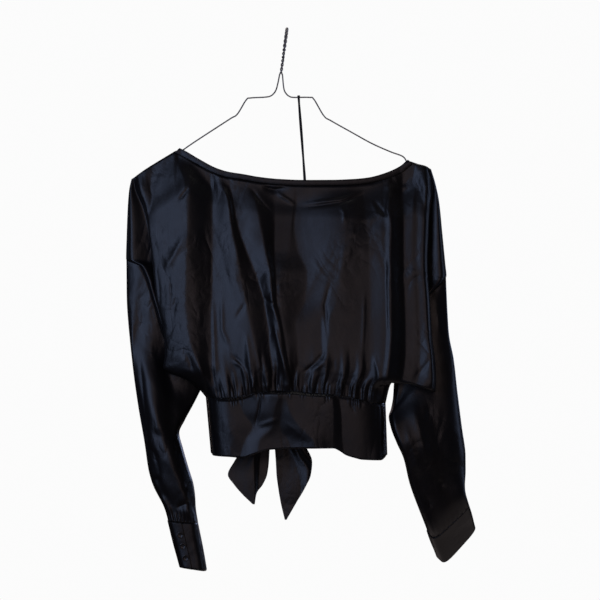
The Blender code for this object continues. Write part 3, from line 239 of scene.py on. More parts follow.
# ---- sleeves and cuffs: outer and inner edge of each ring, its depth and its set to the rear ----
RING = "outer_x outer_z inner_x inner_z depth back"
SLEEVE = pair(
    RING,
    left=((-230.2, -327.4, -124.4, -514.7, 8, 0), (-229.7, -372, -132.5, -531, 10, 0),
        (-226.4, -419, -139, -543, 14, 0), (-220.9, -475, -147.3, -559, 22, 0),
        (-213.1, -532, -155, -577, 29, 0), (-203.1, -590, -149.4, -600, 31, 0),
        (-197.3, -629, -142, -626, 32, 0), (-190.2, -653, -134.4, -651, 32, 0),
        (-177.3, -683, -129.4, -679, 31, 0), (-169.6, -700.3, -128.6, -703.2, 29, 0)),
    right=((228.1, -350.5, 156.6, -497.5, 8, 0), (229.5, -390, 154.5, -520, 9, 0),
        (231.7, -432, 149.5, -540, 11, 0), (238.8, -472, 145.9, -553.3, 15, 0),
        (244.1, -518, 149, -569, 23, 0), (250.2, -567, 157.3, -590.5, 27, 0),
        (255.7, -608, 167.3, -613, 26, 2), (256, -634, 176, -649, 22, 5),
        (254.5, -655, 190.2, -687.7, 17, 9), (257, -674, 205, -722.6, 12, 14)))
CUFF = pair(
    RING,
    left=((-169.5, -700.9, -128.3, -703.8, 29, 0), (-152.5, -766.5, -115.4, -772.5, 30, 0)),
    right=((257.4, -674.6, 205.6, -723.1, 12, 14.4), (268.9, -711, 221.8, -762.3, 12.5, 60)))
# Share of the cuff down to each button, and their angle round it from the outer edge
BUTTON_PLACES = (0.27, 0.51, 0.76)
BUTTON_ANGLE = {"left": 72, "right": 225}
CUFF_OVERLAP = 14.0
CUFF_LIFT = 1.8
SLEEVE_COLUMNS_ROUND = 132

# ---- the tie at the centre of the back ----
TIE_TAIL = pair(
    "drop left right y",
    left=((571.5, -34, -22.5, 57), (585, -50, -23.5, 58.5), (602.9, -65.1, -25.6, 58),
        (621.1, -77.3, -26.6, 56), (639.4, -86.1, -29.1, 54), (653.6, -77.3, -35.2, 53),
        (667.8, -65.1, -45.1, 52.5), (682.3, -49.9, -47.4, 52)),
    right=((571.5, -20, -8, 57), (585, -19, 14, 58.5), (602.9, -17.8, 29.1, 58), (621.1, -16.5, 36.2, 56),
        (639.4, -15.5, 34.2, 54), (659.6, -12.9, 25.1, 53), (679.9, -9.4, 13.4, 52.5),
        (704.8, -3.5, -0.9, 52)))
TAIL_FOLD_Z = (-590, -612, -634, -662, -695)
TAIL_FOLDS = {
    "left": ((1, (-92, -92, -92, -92, -92)), (1.4, (-50, -49, -48, -47, -48)),
             (-2.6, (-38, -39, -41, -43, -46)), (-3.2, (-18, -18, -18, -18, -18))),
    "right": ((0, (-24, -24, -24, -24, -24)), (0.4, (1, 9, 15, 20, 6)), (3.4, (8, 18, 30, 28, 12)),
              (-0.6, (15, 27, 42, 44, 22)), (-0.6, (52, 52, 52, 54, 54)))}
KNOT = {"x": -21, "y": 57, "z": -556, "wide": 17, "deep": 10, "high": 15}
# Share of the back band's height where its top and bottom are, by distance from the knot
BACK_BAND = table(
    "away top bottom", (0, 0.32, 0.58), (8, 0.2, 0.7), (17, 0.04, 0.9), (26, 0, 1), (120, 0, 1))

# ---- hanger: points of each wire below the twist, then how far below the shoulder fold it runs ----
HANGER_ARM = pair(
    "x z",
    left=((-10.6, -63), (-13.2, -76), (-16.4, -86.5), (-22.5, -93.2), (-31, -95.4), (-52, -96.6),
        (-58.5, -99.5), (-71.1, -119.7), (-81, -126.2), (-110, -145), (-138, -163.4)),
    right=((-6.6, -63), (-4.6, -82.7), (-1.5, -90), (3.5, -94.4), (10, -95.8), (32, -95.8), (38.5, -98.5),
        (52.8, -122.2), (64, -129.8), (93.7, -146.5), (121.5, -161.8), (148, -173.6)))
HANGER_TIP = pair(
    "x drop",
    left=((-153.7, 6), (-158, 5.4), (-165, 4.4), (-178, 3.2), (-192, 3.1), (-206, 3.3)),
    right=((166, -1.5), (173, 5.4), (180, 7.2), (188, 5), (194.5, 3.9)))
HANGER_CURL = {"left": (-210.5, -209), "right": (197.5, -199.5)}
HOOK_RADIUS = 18.0
HOOK_LEAN = math.radians(7.7)
STRAND_OFFSET = 1.2
LOOP_TOP = (16.6, -93)
LOOP_FOOT = (26.2, -226)
HOOK_STEM = ((0, -62), (0, -54), (-0.6, -48), (-4.5, -42), (-10.5, -36.5))
HOOK_TURN = (207, -25)
WIRE_HALF = 1.05

# ---- kinds of satin sheet: its wall, where that isn't the setting's, how crumpled it is, and its rows of
# stitches, each by the edge that it follows and how far in it is ----
KINDS = {
    "panel": (None, 0.34, [("from_low", 1.6)]),
    "sleeve": (None, 0.34, [("from_top", 1.4)]),
    "cuff": (1.4, 0.2, [("from_low", 2.0), ("from_top", 1.6)]),
    "band": (1.5, 0.24, [("from_low", 1.8), ("from_top", 1.6)]),
    "binding": (1.9, 0.05, []),
    "tail": (1.1, 0.26, [("from_low", 1.6)])}
KNOT_CRUMPLE = 0.2
RIBBON_WALL = 0.5
STITCH = {"pitch": 2.6, "gap": 0.8, "half_width": 0.28, "half_groove": 0.45}

# ---- laps, gathers, and the curves that the neck, the shoulders and the tubes follow ----
PANEL_DROP = 300
SHOULDER_ROUND = table("drop depth", (0, 0.5), (0.6, 1.8), (2.2, 2.8), (9, 3.7), (40, 5))
TOP_LAP = 0.6
BAND_LAP = 1.3
NECK_MIDDLE, NECK_HALF_WIDTH = 5, 160
NECK_END_DEPTH, NECK_BULGE = 2.4, 9.6
BACK_WAIST_OVAL = (50, 2)
TUBE_SQUARE = 4.4
CREASE_FADE = 0.35
BACK_GATHERS = 17
SLEEVE_GATHERS = 22
BACK_BAND_REACH = {"left": 80.8, "right": 147.5}

# ---- binding: how it laps the panels and rises off them, its swell, and its length for the small waves ----
BACK_UNDER_BINDING = 1.6
BINDING_LAP, BINDING_CORNER_LAP = 0.8, 1.3
BINDING_RISE, BINDING_SWELL = 0.4, 0.45
FRONT_BINDING_RUN, BACK_BINDING_RUN = 330, 350

# ---- cuff buttons; BUTTON_FACE is how far in and how far up each step of the face goes ----
BUTTON_SEAT = 0.6 + 0.63 * CUFF_LIFT
BUTTON_THICK, BUTTON_RISE = 1.5, 1.05
BUTTON_FACE = ((0.3, 0.22), (0.55, 0.0), (0.45, -0.42), (0.5, -0.14))
THREAD_RISE = 1.5
HOLE_RING = 1.45

# ---- camera, lights (place, size, the setting for its power and a share of it) and room, in metres ----
CAMERA_X, CAMERA_Z = 0.0186, -0.386
LIT_POINT = (0.0, 0.0, -0.40)
COOL, WARM = (0.48, 0.62, 1.0), (1.0, 0.76, 0.74)
LIGHTS = (
    ("key_light", (-1.25, -2.15, 0.1), (1.1, 1.9), "key_power", 1, COOL),
    ("front_fill", (0.2, -4.4, 0.1), (2.0, 2.0), "fill_power", 1, WARM),
    ("edge_light", (1.8, 0.25, -0.1), (0.6, 1.6), "edge_power", 1, COOL),
    ("edge_light_left", (-1.8, 0.4, -0.1), (0.4, 1.5), "edge_power", 0.12, COOL),
    ("low_light", (0.2, 0.1, -0.98), (1.0, 0.8), "low_power", 1, (1.0, 0.85, 0.84)),
    ("top_light", (0.3, 0.3, 1.3), (1.4, 1.0), "top_power", 1, (1.0, 0.97, 0.94)),
    ("rear_light", (0.9, 2.1, 0.3), (1.2, 1.6), "key_power", 1, COOL),
    ("rear_fill", (-0.3, 4.2, 0.1), (2.0, 2.0), "fill_power", 1, WARM))
ROOM_COLOUR = (1.0, 0.86, 0.78, 1)
BACKDROP_COLOUR = (0.97, 0.97, 0.97, 1)


# ---- settings ----

LENGTH = {"unit": "LENGTH", "precision": 4}
POWER = {"unit": "POWER"}
FACTOR = {"subtype": "FACTOR"}


def setting(name, description, default, low, high, **kind):
    return FloatProperty(name=name, description=description, default=default, min=low, max=high, **kind)


def colour_setting(name, description, default):
    return FloatVectorProperty(name=name, description=description, size=3, subtype="COLOR",
                               default=default, min=0, max=1)


class CropTopCloth(bpy.types.PropertyGroup):
    """Sizes and finish of the cloth."""
    wall: setting("Cloth thickness", "Thickness of a satin panel", 0.0009, 0.0004, 0.0015, **LENGTH)
    binding_width: setting("Binding width", "Width of the folded strip at the neck",
                           0.0076, 0.004, 0.012, **LENGTH)
    gathers: IntProperty(name="Gathers", description="Gathers sewn into the front of the waistband",
                         default=40, min=10, max=80)
    gather_height: setting("Gather height", "How far a gather stands up at the seam",
                           0.0015, 0.0, 0.004, **LENGTH)
    pleat_depth: setting("Pleat depth", "Scale of the large hanging pleats", 1.0, 0.0, 1.5, **FACTOR)
    satin_colour: colour_setting("Satin", "Base colour of the satin", (0.0075, 0.0068, 0.0074))
    satin_roughness: setting("Satin roughness", "Lower is glossier", 0.36, 0.1, 0.8, **FACTOR)
    thread_colour: colour_setting("Thread", "Colour of the sewing thread", (0.012, 0.0115, 0.012))
    button_radius: setting("Button radius", "Radius of a cuff button", 0.0046, 0.003, 0.008, **LENGTH)


class CropTopHanger(bpy.types.PropertyGroup):
    """Sizes and finish of the wire hanger and its ribbon."""
    wire_radius: setting("Wire radius", "Half the thickness of the hanger's wire",
                         WIRE_HALF * MM, 0.0005, 0.002, unit="LENGTH", precision=5)
    twist_pitch: setting("Twist pitch", "Length of one turn of the twisted hook",
                         0.013, 0.008, 0.02, **LENGTH)
    steel_colour: colour_setting("Steel", "Colour of the wire", (0.50, 0.46, 0.42))
    ribbon_width: setting("Ribbon width", "Width of the hanging ribbon", 0.003, 0.002, 0.008, **LENGTH)


class CropTopStage(bpy.types.PropertyGroup):
    """Camera and studio light."""
    camera_distance: setting("Camera distance", "From the camera to the hanger",
                             4.02, 1.0, 10.0, unit="LENGTH")
    focal_length: setting("Focal length", "Lens, in millimetres", 168.4, 35.0, 300.0)
    key_power: setting("Key light", "Power of the large soft light on the left", 13.0, 0.0, 500.0, **POWER)
    fill_power: setting("Front fill", "Power of the dim warm light by the camera", 8.0, 0.0, 500.0, **POWER)
    edge_power: setting("Edge light", "Power of the narrow light on the right", 3.0, 0.0, 500.0, **POWER)
    top_power: setting("Top light", "Power of the light over the rail", 6.0, 0.0, 500.0, **POWER)
    low_power: setting("Floor bounce", "Power of the light that the floor gives back",
                       0.45, 0.0, 50.0, **POWER)
    room_light: setting("Room light", "Dim light from all round", 0.02, 0.0, 2.0)
    floor_height: setting("Floor height", "Height of the floor under the hook",
                          -1.0, -3.0, -0.8, unit="LENGTH")


# ---- curves through a table ----

def points(x, y, z):
    return np.stack((x, y, z), axis=-1)


def through(places, values, at):
    """A smooth curve through a table's values that never overshoots them, read at many places."""
    places = np.asarray(places, dtype=float)
    values = np.asarray(values, dtype=float)
    slopes = np.diff(values) / np.diff(places)
    tangents = np.concatenate((slopes[:1], np.zeros(len(values) - 2), slopes[-1:]))
    same_way = slopes[:-1] * slopes[1:] > 0
    both = np.where(same_way, slopes[:-1] + slopes[1:], 1.0)
    tangents[1:-1] = np.where(same_way, 2 * slopes[:-1] * slopes[1:] / both, 0.0)
    at = np.clip(at, places[0], places[-1])
    i = np.clip(np.searchsorted(places, at, side="right") - 1, 0, len(slopes) - 1)
    step = places[i + 1] - places[i]
    t = (at - places[i]) / step
    rise = values[i + 1] - values[i]
    return (values[i] + rise * t * t * (3 - 2 * t)
            + step * t * (1 - t) * (tangents[i] * (1 - t) - tangents[i + 1] * t))


def read(rows, name, at):
    """A column of a table at many places in its first column."""
    return through(next(iter(rows.values())), rows[name], at)


def edge_at(edge, level):
    """Points of an edge at many levels; y is the depth from the middle plane."""
    return points(*(read(edge, axis, level) for axis in "xyz"))


def line_at(line, x):
    return read(line, "z", x)


def ends(rows, name):
    """The first and the last value of a table's column."""
    return rows[name][0], rows[name][-1]


def between(first, last, share):
    return first + (last - first) * share


def unit(vectors):
    return vectors / np.linalg.norm(vectors, axis=-1)[..., None]


def ease(t):
    t = np.clip(t, 0.0, 1.0)
    return t * t * (3 - 2 * t)


def mixed(a, b, share):
    share = np.asarray(share)[..., None]
    return a * (1 - share) + b * share


def rounded(across, square):
    """Height of half an oval, 1 in the middle and 0 at across = 1 and -1; a larger square is boxier."""
    return np.sqrt(np.maximum(0.0, 1 - np.abs(across) ** square))


def spline(stops, t):
    """Catmull-Rom curve through points; t runs from 0 to the last point's number."""
    stops = np.array(stops)
    ahead = 2 * stops[-1] - stops[-2]
    before = 2 * stops[0] - stops[1]
    stops = np.concatenate((before[None], stops, ahead[None]))
    i = np.clip(np.floor(t).astype(int), 0, len(stops) - 4)
    f = np.asarray(t - i)[..., None]
    here = (i, np.arange(len(t))) if stops.ndim == 3 else (i,)
    p0, p1, p2, p3 = (stops[(here[0] + k, *here[1:])] for k in range(4))
    return 0.5 * (2 * p1 + (p2 - p0) * f + (2 * p0 - 5 * p1 + 4 * p2 - p3) * f * f
                  + (3 * p1 - p0 - 3 * p2 + p3) * f ** 3)


# ---- folds ----

def pleat_height(heights_and_places, stations, x, z):
    """Height of the hanging pleats: soft slopes between ridges and hollows that wander down the cloth."""
    stations = -np.array(stations, dtype=float)
    places = np.array([through(stations, place, -z) for _, place in heights_and_places])
    heights = np.array([through(stations, np.broadcast_to(height, stations.shape), -z)
                        for height, _ in heights_and_places])
    i = np.clip(np.sum(places <= x, axis=0) - 1, 0, len(heights) - 2)
    n = np.arange(len(x))
    t = np.clip((x - places[i, n]) / np.maximum(places[i + 1, n] - places[i, n], 1.0), 0, 1)
    t = 0.6 * t + 0.4 * ease(t)
    return between(heights[i, n], heights[i + 1, n], t)


def crease_height(creases, x, z):
    """Small creases, each fading out at its two ends."""
    height = np.zeros_like(x)
    for x1, z1, x2, z2, x3, z3, width, high in zip(*creases.values()):
        best = np.full_like(x, 1e9)
        along = np.zeros_like(x)
        for number, (ax, az, bx, bz) in enumerate(((x1, z1, x2, z2), (x2, z2, x3, z3))):
            dx, dz = bx - ax, bz - az
            t = np.clip(((x - ax) * dx + (z - az) * dz) / (dx * dx + dz * dz), 0, 1)
            distance = np.hypot(x - ax - t * dx, z - az - t * dz)
            nearer = distance < best
            best = np.where(nearer, distance, best)
            along = np.where(nearer, (number + t) / 2, along)
        fade = ease(along / CREASE_FADE) * ease((1 - along) / CREASE_FADE)
        height += 1.5 * high * fade * np.exp(-(best / width) ** 1.4)
    return height


def gather_height(turn, level, height):
    """Gathers of uneven length and height that grow towards the seam; turn counts them."""
    turn = turn + 0.30 * np.sin(1.9 * turn) + 0.16 * np.sin(4.3 * turn + 1)
    begin = 0.945 + 0.020 * np.sin(2.7 * turn) + 0.012 * np.sin(5.9 * turn + 2)
    uneven = 1 + 0.45 * np.sin(2.4 * turn) + 0.25 * np.sin(5.1 * turn + 1)
    total = ease((level - begin) / (1 - begin)) * uneven * np.cos(2 * math.pi * turn)
    middling = np.cos(2 * math.pi * turn * 0.43 + 1.3 * np.sin(0.71 * turn))
    total += 0.75 * middling * ease((level - 0.86) / 0.10) * (1 + 0.5 * np.sin(1.3 * turn + 0.5))
    long = np.cos(2 * math.pi * turn * 0.21 + 1.7 * np.sin(0.37 * turn + 1))
    total += 0.8 * long * ease((level - 0.74) / 0.16) * (1 - 0.4 * ease((level - 0.92) / 0.08))
    return height * total


# ---- the body ----

def top_height(x, binding):
    """Height of the panels' top edge, under the binding and the shoulder fold."""
    slope = (line_at(NECKLINE, x + 2) - line_at(NECKLINE, x - 2)) / 4
    under = line_at(NECKLINE, x) - (binding - TOP_LAP) * np.hypot(1, slope)
    shoulder = np.where(x < 0, line_at(SHOULDER["left"], x), line_at(SHOULDER["right"], x)) - TOP_LAP
    return np.where(np.abs(x) < 100, under, np.minimum(under, shoulder))


def neck_depth(x):
    """Depth of the neck's front edge, most in the middle."""
    across = (x - NECK_MIDDLE) / NECK_HALF_WIDTH
    return NECK_END_DEPTH + NECK_BULGE * np.maximum(0.0, 1 - across ** 2) ** 0.8


def on_shoulder(x):
    return ease((NECK_CORNER["left"] + 5 - x) / 6) + ease((x - NECK_CORNER["right"]) / 6)


def shoulder_depth(level):
    return read(SHOULDER_ROUND, "depth", PANEL_DROP * level)


def waist_depth(x, front=False):
    left, right = LOBE["left"]["x"][-1], LOBE["right"]["x"][-1]
    edge = LOBE["left"]["y"][-1]
    across = np.clip((2 * x - left - right) / (right - left), -1, 1)
    deep, square = (BODY["depth"][-1], BODY["square"][-1]) if front else BACK_WAIST_OVAL
    oval = between(edge, deep, rounded(across, square))
    seam = np.where(x < left, WAIST["x"][0], WAIST["x"][-1])
    lobe = np.where(x < left, left, right)
    turn = edge * np.sqrt(np.clip((x - seam) / (lobe - seam), 0.003, 1))
    return np.where((x < left) | (x > right), turn, oval)


def arm_points(side, part, level):
    """Cloth beside the body: part 0 is the panel's end, 2 the bottom of the tuck, 4 the outer edge."""
    end = edge_at(ARM_END[side], level)
    end[:, 1] = np.maximum(end[:, 1] - 0.35, 0.45)
    trough = edge_at(TROUGH[side], level)
    lobe = edge_at(LOBE[side], level)
    arm = 0.8 * end + 0.2 * trough
    arm[:, 1] += 0.72 * trough[:, 1]
    trough = 0.25 * end + 0.75 * trough
    trough[:, 1] *= 0.3
    return spline([end, arm, trough, (trough + lobe) / 2, lobe], part)


def front_points(across, level, cloth):
    """The front panel: across is -1 to 1 between the outer edges and goes on to -5 and 5 beside the body."""
    part = np.clip(5 - np.abs(across), 0, 4)
    arm = np.where((across < 0)[:, None], arm_points("left", part, level), arm_points("right", part, level))
    arm[:, 1] *= -1
    inner = np.clip(across, -1, 1)
    share = (inner + 1) / 2
    edges = {side: edge_at(LOBE[side], level) for side in SIDES}
    x = edges["left"][:, 0] * (1 - share) + edges["right"][:, 0] * share
    width = cloth.binding_width / MM
    (left_top, left_low), (right_top, right_low) = (ends(LOBE[side], "x") for side in SIDES)
    top = top_height(between(left_top, right_top, share), width)
    low = line_at(WAIST, between(left_low, right_low, share))
    z = between(top, low, level)
    for side, here in (("left", inner < 0), ("right", inner >= 0)):
        end_top = top_height(LOBE[side]["x"][:1], width)[0]
        end_z = between(end_top, LOBE[side]["z"][-1], level)
        z = np.where(here, z + (edges[side][:, 2] - end_z) * np.abs(inner) ** 3, z)
    edge_depth = np.where(inner < 0, edges["left"][:, 1], edges["right"][:, 1])
    middle = read(BODY, "depth", level)
    body = between(edge_depth, middle, rounded(inner, read(BODY, "square", level)))
    blend = np.maximum(ease(level / 0.16), 1 - ease((1 - np.abs(inner)) / 0.12))
    over = on_shoulder(x)
    tuck = (1.5 - 0.9 * ease((np.abs(x) - 120) / 30)) * (1 - ease(level / 0.014))
    held = (neck_depth(x) - tuck) * (1 - over) + shoulder_depth(level) * over
    depth = held * (1 - blend) + body * blend
    inside = ease((1 - np.abs(inner)) / 0.08)
    below_top = ease((top - z) / 32.0)
    sewn = ease((level - 0.965) / 0.035)
    loose = (0.15 + 0.85 * below_top) * (1 - 0.6 * ease((level - 0.88) / 0.10)) * (1 - sewn)
    loose *= cloth.pleat_depth
    depth += pleat_height(FRONT_PLEATS, FRONT_PLEAT_Z, x, z) * loose * ease((1 - np.abs(inner)) / 0.03)
    depth += crease_height(FRONT_CREASES, x, z) * inside * ease((top - z + 1) / 12)
    upright = np.clip((x - WAIST["x"][0]) / (WAIST["x"][-1] - WAIST["x"][0]), 0, 1)
    gathers = gather_height((0.3 * share + 0.7 * upright) * cloth.gathers, level, cloth.gather_height / MM)
    depth += gathers * inside * (1 - 0.6 * sewn)
    return np.where((np.abs(across) > 1)[:, None], arm, points(x, -depth, z))


def back_points(side, across, level, cloth):
    """A back panel: across is 0 at the outer edge and 1 at the open edge, and down to -4 beside the body."""
    arm = arm_points(side, np.clip(4 + across, 0, 4), level)
    inner = np.clip(across, 0, 1)
    lobe = edge_at(LOBE[side], level)
    point = mixed(lobe, edge_at(BACK_EDGE[side], level), inner)
    corners = [(LOBE[side][name][row], BACK_EDGE[side][name][row]) for row in (0, -1) for name in "xz"]
    top_x, top_z, low_x, low_z = (between(a, b, inner) for a, b in corners)
    lift = top_height(top_x, cloth.binding_width / MM) - top_z
    point[:, 2] += lift * (1 - ease(level / 0.3)) * (1 - inner)
    point[:, 2] += (line_at(BACK_WAIST, low_x) - low_z) * ease((level - 0.6) / 0.4)
    middle = read(BODY, "depth", level)
    full = between(lobe[:, 1], middle, rounded(1 - inner, 2.2))
    body = between(point[:, 1], full, 0.55 + 0.45 * level)
    body += (waist_depth(point[:, 0]) - body) * ease((level - 0.94) / 0.06) * ease(inner / 0.02)
    blend = np.maximum(ease(level / 0.16), 1 - ease(inner / 0.12))
    over = on_shoulder(point[:, 0])
    held = shoulder_depth(level) * over + (2.6 + 60 * level) * (1 - over)
    depth = held * (1 - blend) + body * blend
    inside = ease(inner / 0.1) * ease((1 - inner) / 0.06)
    pleats = pleat_height(BACK_PLEATS[side], BACK_PLEAT_Z, point[:, 0], point[:, 2])
    loose = ease(level / 0.15) * cloth.pleat_depth * (1 - 0.5 * ease((level - 0.88) / 0.12))
    depth += pleats * inside * loose
    gathers = gather_height(inner * BACK_GATHERS, level, cloth.gather_height / MM)
    depth += gathers * ease(inner / 0.1) * (1 - 0.6 * ease((inner - 0.9) / 0.1))
    point[:, 1] = depth
    return np.where((across < 0)[:, None], arm, point)


def binding_share(side, level, cloth, extra=0.0):
    """Share of a back row where the binding begins; extra, in mm, moves that away from the open edge."""
    span = edge_at(BACK_EDGE[side], level) - edge_at(LOBE[side], level)
    return 1 - (cloth.binding_width / MM + extra) * 1.12 / np.linalg.norm(span, axis=-1)


def corner_depth(away, down):
    """Least depth of a binding near a neck corner, where the front's and the back's meet."""
    return 1.4 + 2.2 * np.minimum(1.0, ease(down / 0.45) + ease(away / 6))


def pucker(length):
    """Small uneven waves along the binding, where it is eased onto the panel."""
    return 0.03 * np.sin(length / 1.9) * (1 + 0.6 * np.sin(length / 13)) + 0.08 * np.sin(length / 7.3 + 1)


def front_binding_points(share, down, cloth):
    """The binding's front: share is 0 to 1 from the left corner, down is 0 to 1 across its width."""
    top_x = between(NECKLINE["x"][1], NECKLINE["x"][-2], share)
    low_x = between(NECK_CORNER["left"], NECK_CORNER["right"], share)
    lap = BINDING_LAP + BINDING_CORNER_LAP * ease((np.abs(low_x) - 125) / 25)
    low_z = top_height(low_x, cloth.binding_width / MM) - lap
    x = between(top_x, low_x, down)
    z = between(line_at(NECKLINE, top_x), low_z, down)
    away = np.minimum(share, 1 - share) * FRONT_BINDING_RUN
    depth = np.maximum(neck_depth(x) + BINDING_RISE, corner_depth(away, down))
    depth += BINDING_SWELL * np.sin(math.pi * down) + pucker(share * FRONT_BINDING_RUN) * ease(away / 12)
    return points(x, -depth, z)


def back_binding_points(side, down, across, cloth):
    """A binding of the open back: down is the panel's level, across is 0 at the panel and 1 at the edge."""
    limit = binding_share(side, down, cloth)
    point = back_points(side, limit + (1 - limit) * across, down, cloth)
    swell = BINDING_SWELL * np.sin(math.pi * across) + pucker(down * BACK_BINDING_RUN) * ease(down / 0.05)
    corner = corner_depth(down * FRONT_BINDING_RUN, 1 - across)
    point[:, 1] = np.maximum(point[:, 1] + BINDING_RISE + swell, corner)
    return point


# ---- sleeves and cuffs ----

def ring_at(rings, down):
    """Each field of a tube's rings at many places down it, 0 to 1."""
    stations = np.linspace(0, 1, len(rings["depth"]))
    return {name: through(stations, rings[name], down) for name in rings}


def cuff_axis(side):
    """Direction down the cuff."""
    rings = CUFF[side]
    middle = points((rings["outer_x"] + rings["inner_x"]) / 2, rings["back"],
                    (rings["outer_z"] + rings["inner_z"]) / 2)
    return unit(middle[1] - middle[0])


def flat_round(angle):
    """A sine with a flatter top, for a tube that is pressed flat in front and behind."""
    return np.sign(np.sin(angle)) * (1 - np.abs(np.cos(angle)) ** TUBE_SQUARE) ** (1 / TUBE_SQUARE)


def cuff_points(side, turn, down, out):
    """turn is 0 at the outer edge and 0.5 at the inner one, front first; out moves off the middle."""
    ring = {name: between(first, last, down) for name, (first, last) in CUFF[side].items()}
    angle = 2 * math.pi * turn
    outer = points(ring["outer_x"], ring["back"], ring["outer_z"])
    inner = points(ring["inner_x"], ring["back"], ring["inner_z"])
    across = (inner - outer) / 2
    half = np.linalg.norm(across, axis=-1)[:, None]
    across = across / half
    forward = unit(np.cross(across, cuff_axis(side)))
    forward = np.where(forward[:, 1:2] > 0, -forward, forward)
    out = np.asarray(out)[..., None]
    return ((outer + inner) / 2 - across * (half + out) * np.cos(angle)[:, None]
            + forward * (ring["depth"][:, None] + out) * flat_round(angle)[:, None])


def cuff_turns(side):
    """Where the cuff's strip starts and ends, in turns from its outer edge."""
    ring = {name: column[0] for name, column in CUFF[side].items()}
    half = math.hypot(ring["inner_x"] - ring["outer_x"], ring["inner_z"] - ring["outer_z"]) / 2
    deep = ring["depth"]
    girth = math.pi * (3 * (half + deep) - math.sqrt((3 * half + deep) * (half + 3 * deep)))
    lap = CUFF_OVERLAP / girth
    end = BUTTON_ANGLE[side] / 360 + lap * 0.5
    return end - 1 - lap, end


def armhole_points(side, turn, down):
    """The sleeve's top, which follows the end of the panels."""
    first, last = SLEEVE_SEAM[side]
    share = np.where(turn < 0.5, turn, 1 - turn) * 2
    level = between(first, last, share)
    point = edge_at(ARM_END[side], level)
    along = edge_at(ARM_END[side], np.minimum(level + 0.015, last))
    along = along - edge_at(ARM_END[side], np.maximum(level - 0.015, first))
    inward = 1 if side == "left" else -1
    aside = unit(np.stack((-inward * along[:, 2], inward * along[:, 0]), axis=-1))
    rings = SLEEVE[side]
    hang = {name: (rings[name][1] - rings[name][0]) * down * (len(rings["depth"]) - 1) for name in rings}
    x = point[:, 0] + aside[:, 0] + hang["outer_x"] * (1 - share) + hang["inner_x"] * share
    z = point[:, 2] + aside[:, 1] + hang["outer_z"] * (1 - share) + hang["inner_z"] * share
    sign = np.where(turn < 0.5, -1, 1)
    closing = np.minimum(1.0, 12 * np.abs(np.sin(2 * math.pi * turn)))
    tucked = np.maximum(point[:, 1] - 0.9 * (1 - ease((down - 0.004) / 0.012)), 0.2)
    return points(x, sign * tucked * closing, z)


def sleeve_points(side, turn, down):
    """turn goes round from the outer edge, front first; down is 0 to 1 from the armhole to the cuff."""
    ring = ring_at(SLEEVE[side], down)
    angle = 2 * math.pi * turn
    share = (1 - np.cos(angle)) / 2
    point = points(between(ring["outer_x"], ring["inner_x"], share),
                   ring["back"] - ring["depth"] * (0.3 * np.sin(angle) + 0.7 * flat_round(angle)),
                   between(ring["outer_z"], ring["inner_z"], share))
    turned = SLEEVE_TURN[side] * ease((down - 0.15) / 0.3) * (1 - ease((down - 0.7) / 0.3))
    point[:, 1] -= turned * (share - 0.5) * (ring["outer_x"] - ring["inner_x"])
    cuffed = ease((down - 0.75) / 0.25)
    point = mixed(point, cuff_points(side, turn, -0.004 - (1 - down) * 3.5, np.zeros_like(turn)), cuffed)
    point = mixed(point, armhole_points(side, turn, down), ease(1 - down / 0.33))
    sign = np.where(np.sin(angle) >= 0, -1.0, 1.0)
    round_side = np.abs(np.sin(angle))
    push = crease_height(SLEEVE_CREASES[side], point[:, 0], point[:, 2]) * (np.sin(angle) > 0)
    for number, (top, low, width, height) in enumerate(zip(*SLEEVE_FOLDS[side].values())):
        middle = between(top, low, down) + 0.012 * np.sin(9 * down + number)
        away = (turn - middle + 0.5) % 1 - 0.5
        push += height * np.exp(-(away / width) ** 2) * ease(down / 0.25)
    push *= ease(round_side / 0.5) * (1 - ease((down - 0.93) / 0.07))
    near_cuff = ease((down - 0.9) / 0.1)
    gathers = np.cos(2 * math.pi * turn * SLEEVE_GATHERS + 1.5 * np.sin(8 * turn * math.pi))
    push += 0.9 * gathers * near_cuff * (1 - 0.6 * ease((down - 0.985) / 0.015)) * ease(round_side / 0.3)
    point[:, 1] += sign * push
    return point


# ---- waistband and tie ----

def band_points(front, share, down):
    """The waistband: share is 0 to 1 from its left end, down is 0 to 1 from the waist seam to the hem."""
    x = between(*ends(WAIST, "x"), share)
    outward = -1 if front else 1
    y = outward * np.maximum(waist_depth(x, front), 0.2)
    top = line_at(WAIST if front else BACK_WAIST, x) + BAND_LAP
    low_x = between(*ends(BAND_HEM, "x"), share)
    low = line_at(BAND_HEM if front else BACK_HEM, low_x)
    z = between(top, low, down)
    wave = 1.6 * np.sin(9 * share + 1.5) * np.sin(math.pi * down) + 0.9 * np.sin(23 * share) * (1 - down)
    tucks = share * 47 + 0.6 * np.sin(31 * share) + 0.4 * np.sin(83 * share)
    reach = 0.14 + 0.06 * np.sin(39 * share + 1) + 0.04 * np.sin(97 * share)
    tuck = 0.42 * np.cos(2 * math.pi * tucks) * ease(1 - down / reach) * (1 + 0.8 * np.sin(47 * share))
    x = between(x, low_x, down)
    if front:
        folds = pleat_height(BAND_FOLDS, BAND_FOLD_Z, x, z) * ease(down / 0.06)
        wave = 0.5 * wave + crease_height(BAND_CREASES, x, z)
    else:
        folds = 0.0
        wave = wave + 1.1 * np.sin(17 * share + 3 * down) * np.sin(math.pi * down)
    side_fade = np.sin(math.pi * share)
    push = wave * side_fade + folds * ease(side_fade / 0.12) + tuck * ease(side_fade / 0.3)
    return points(x, y + outward * push, z)


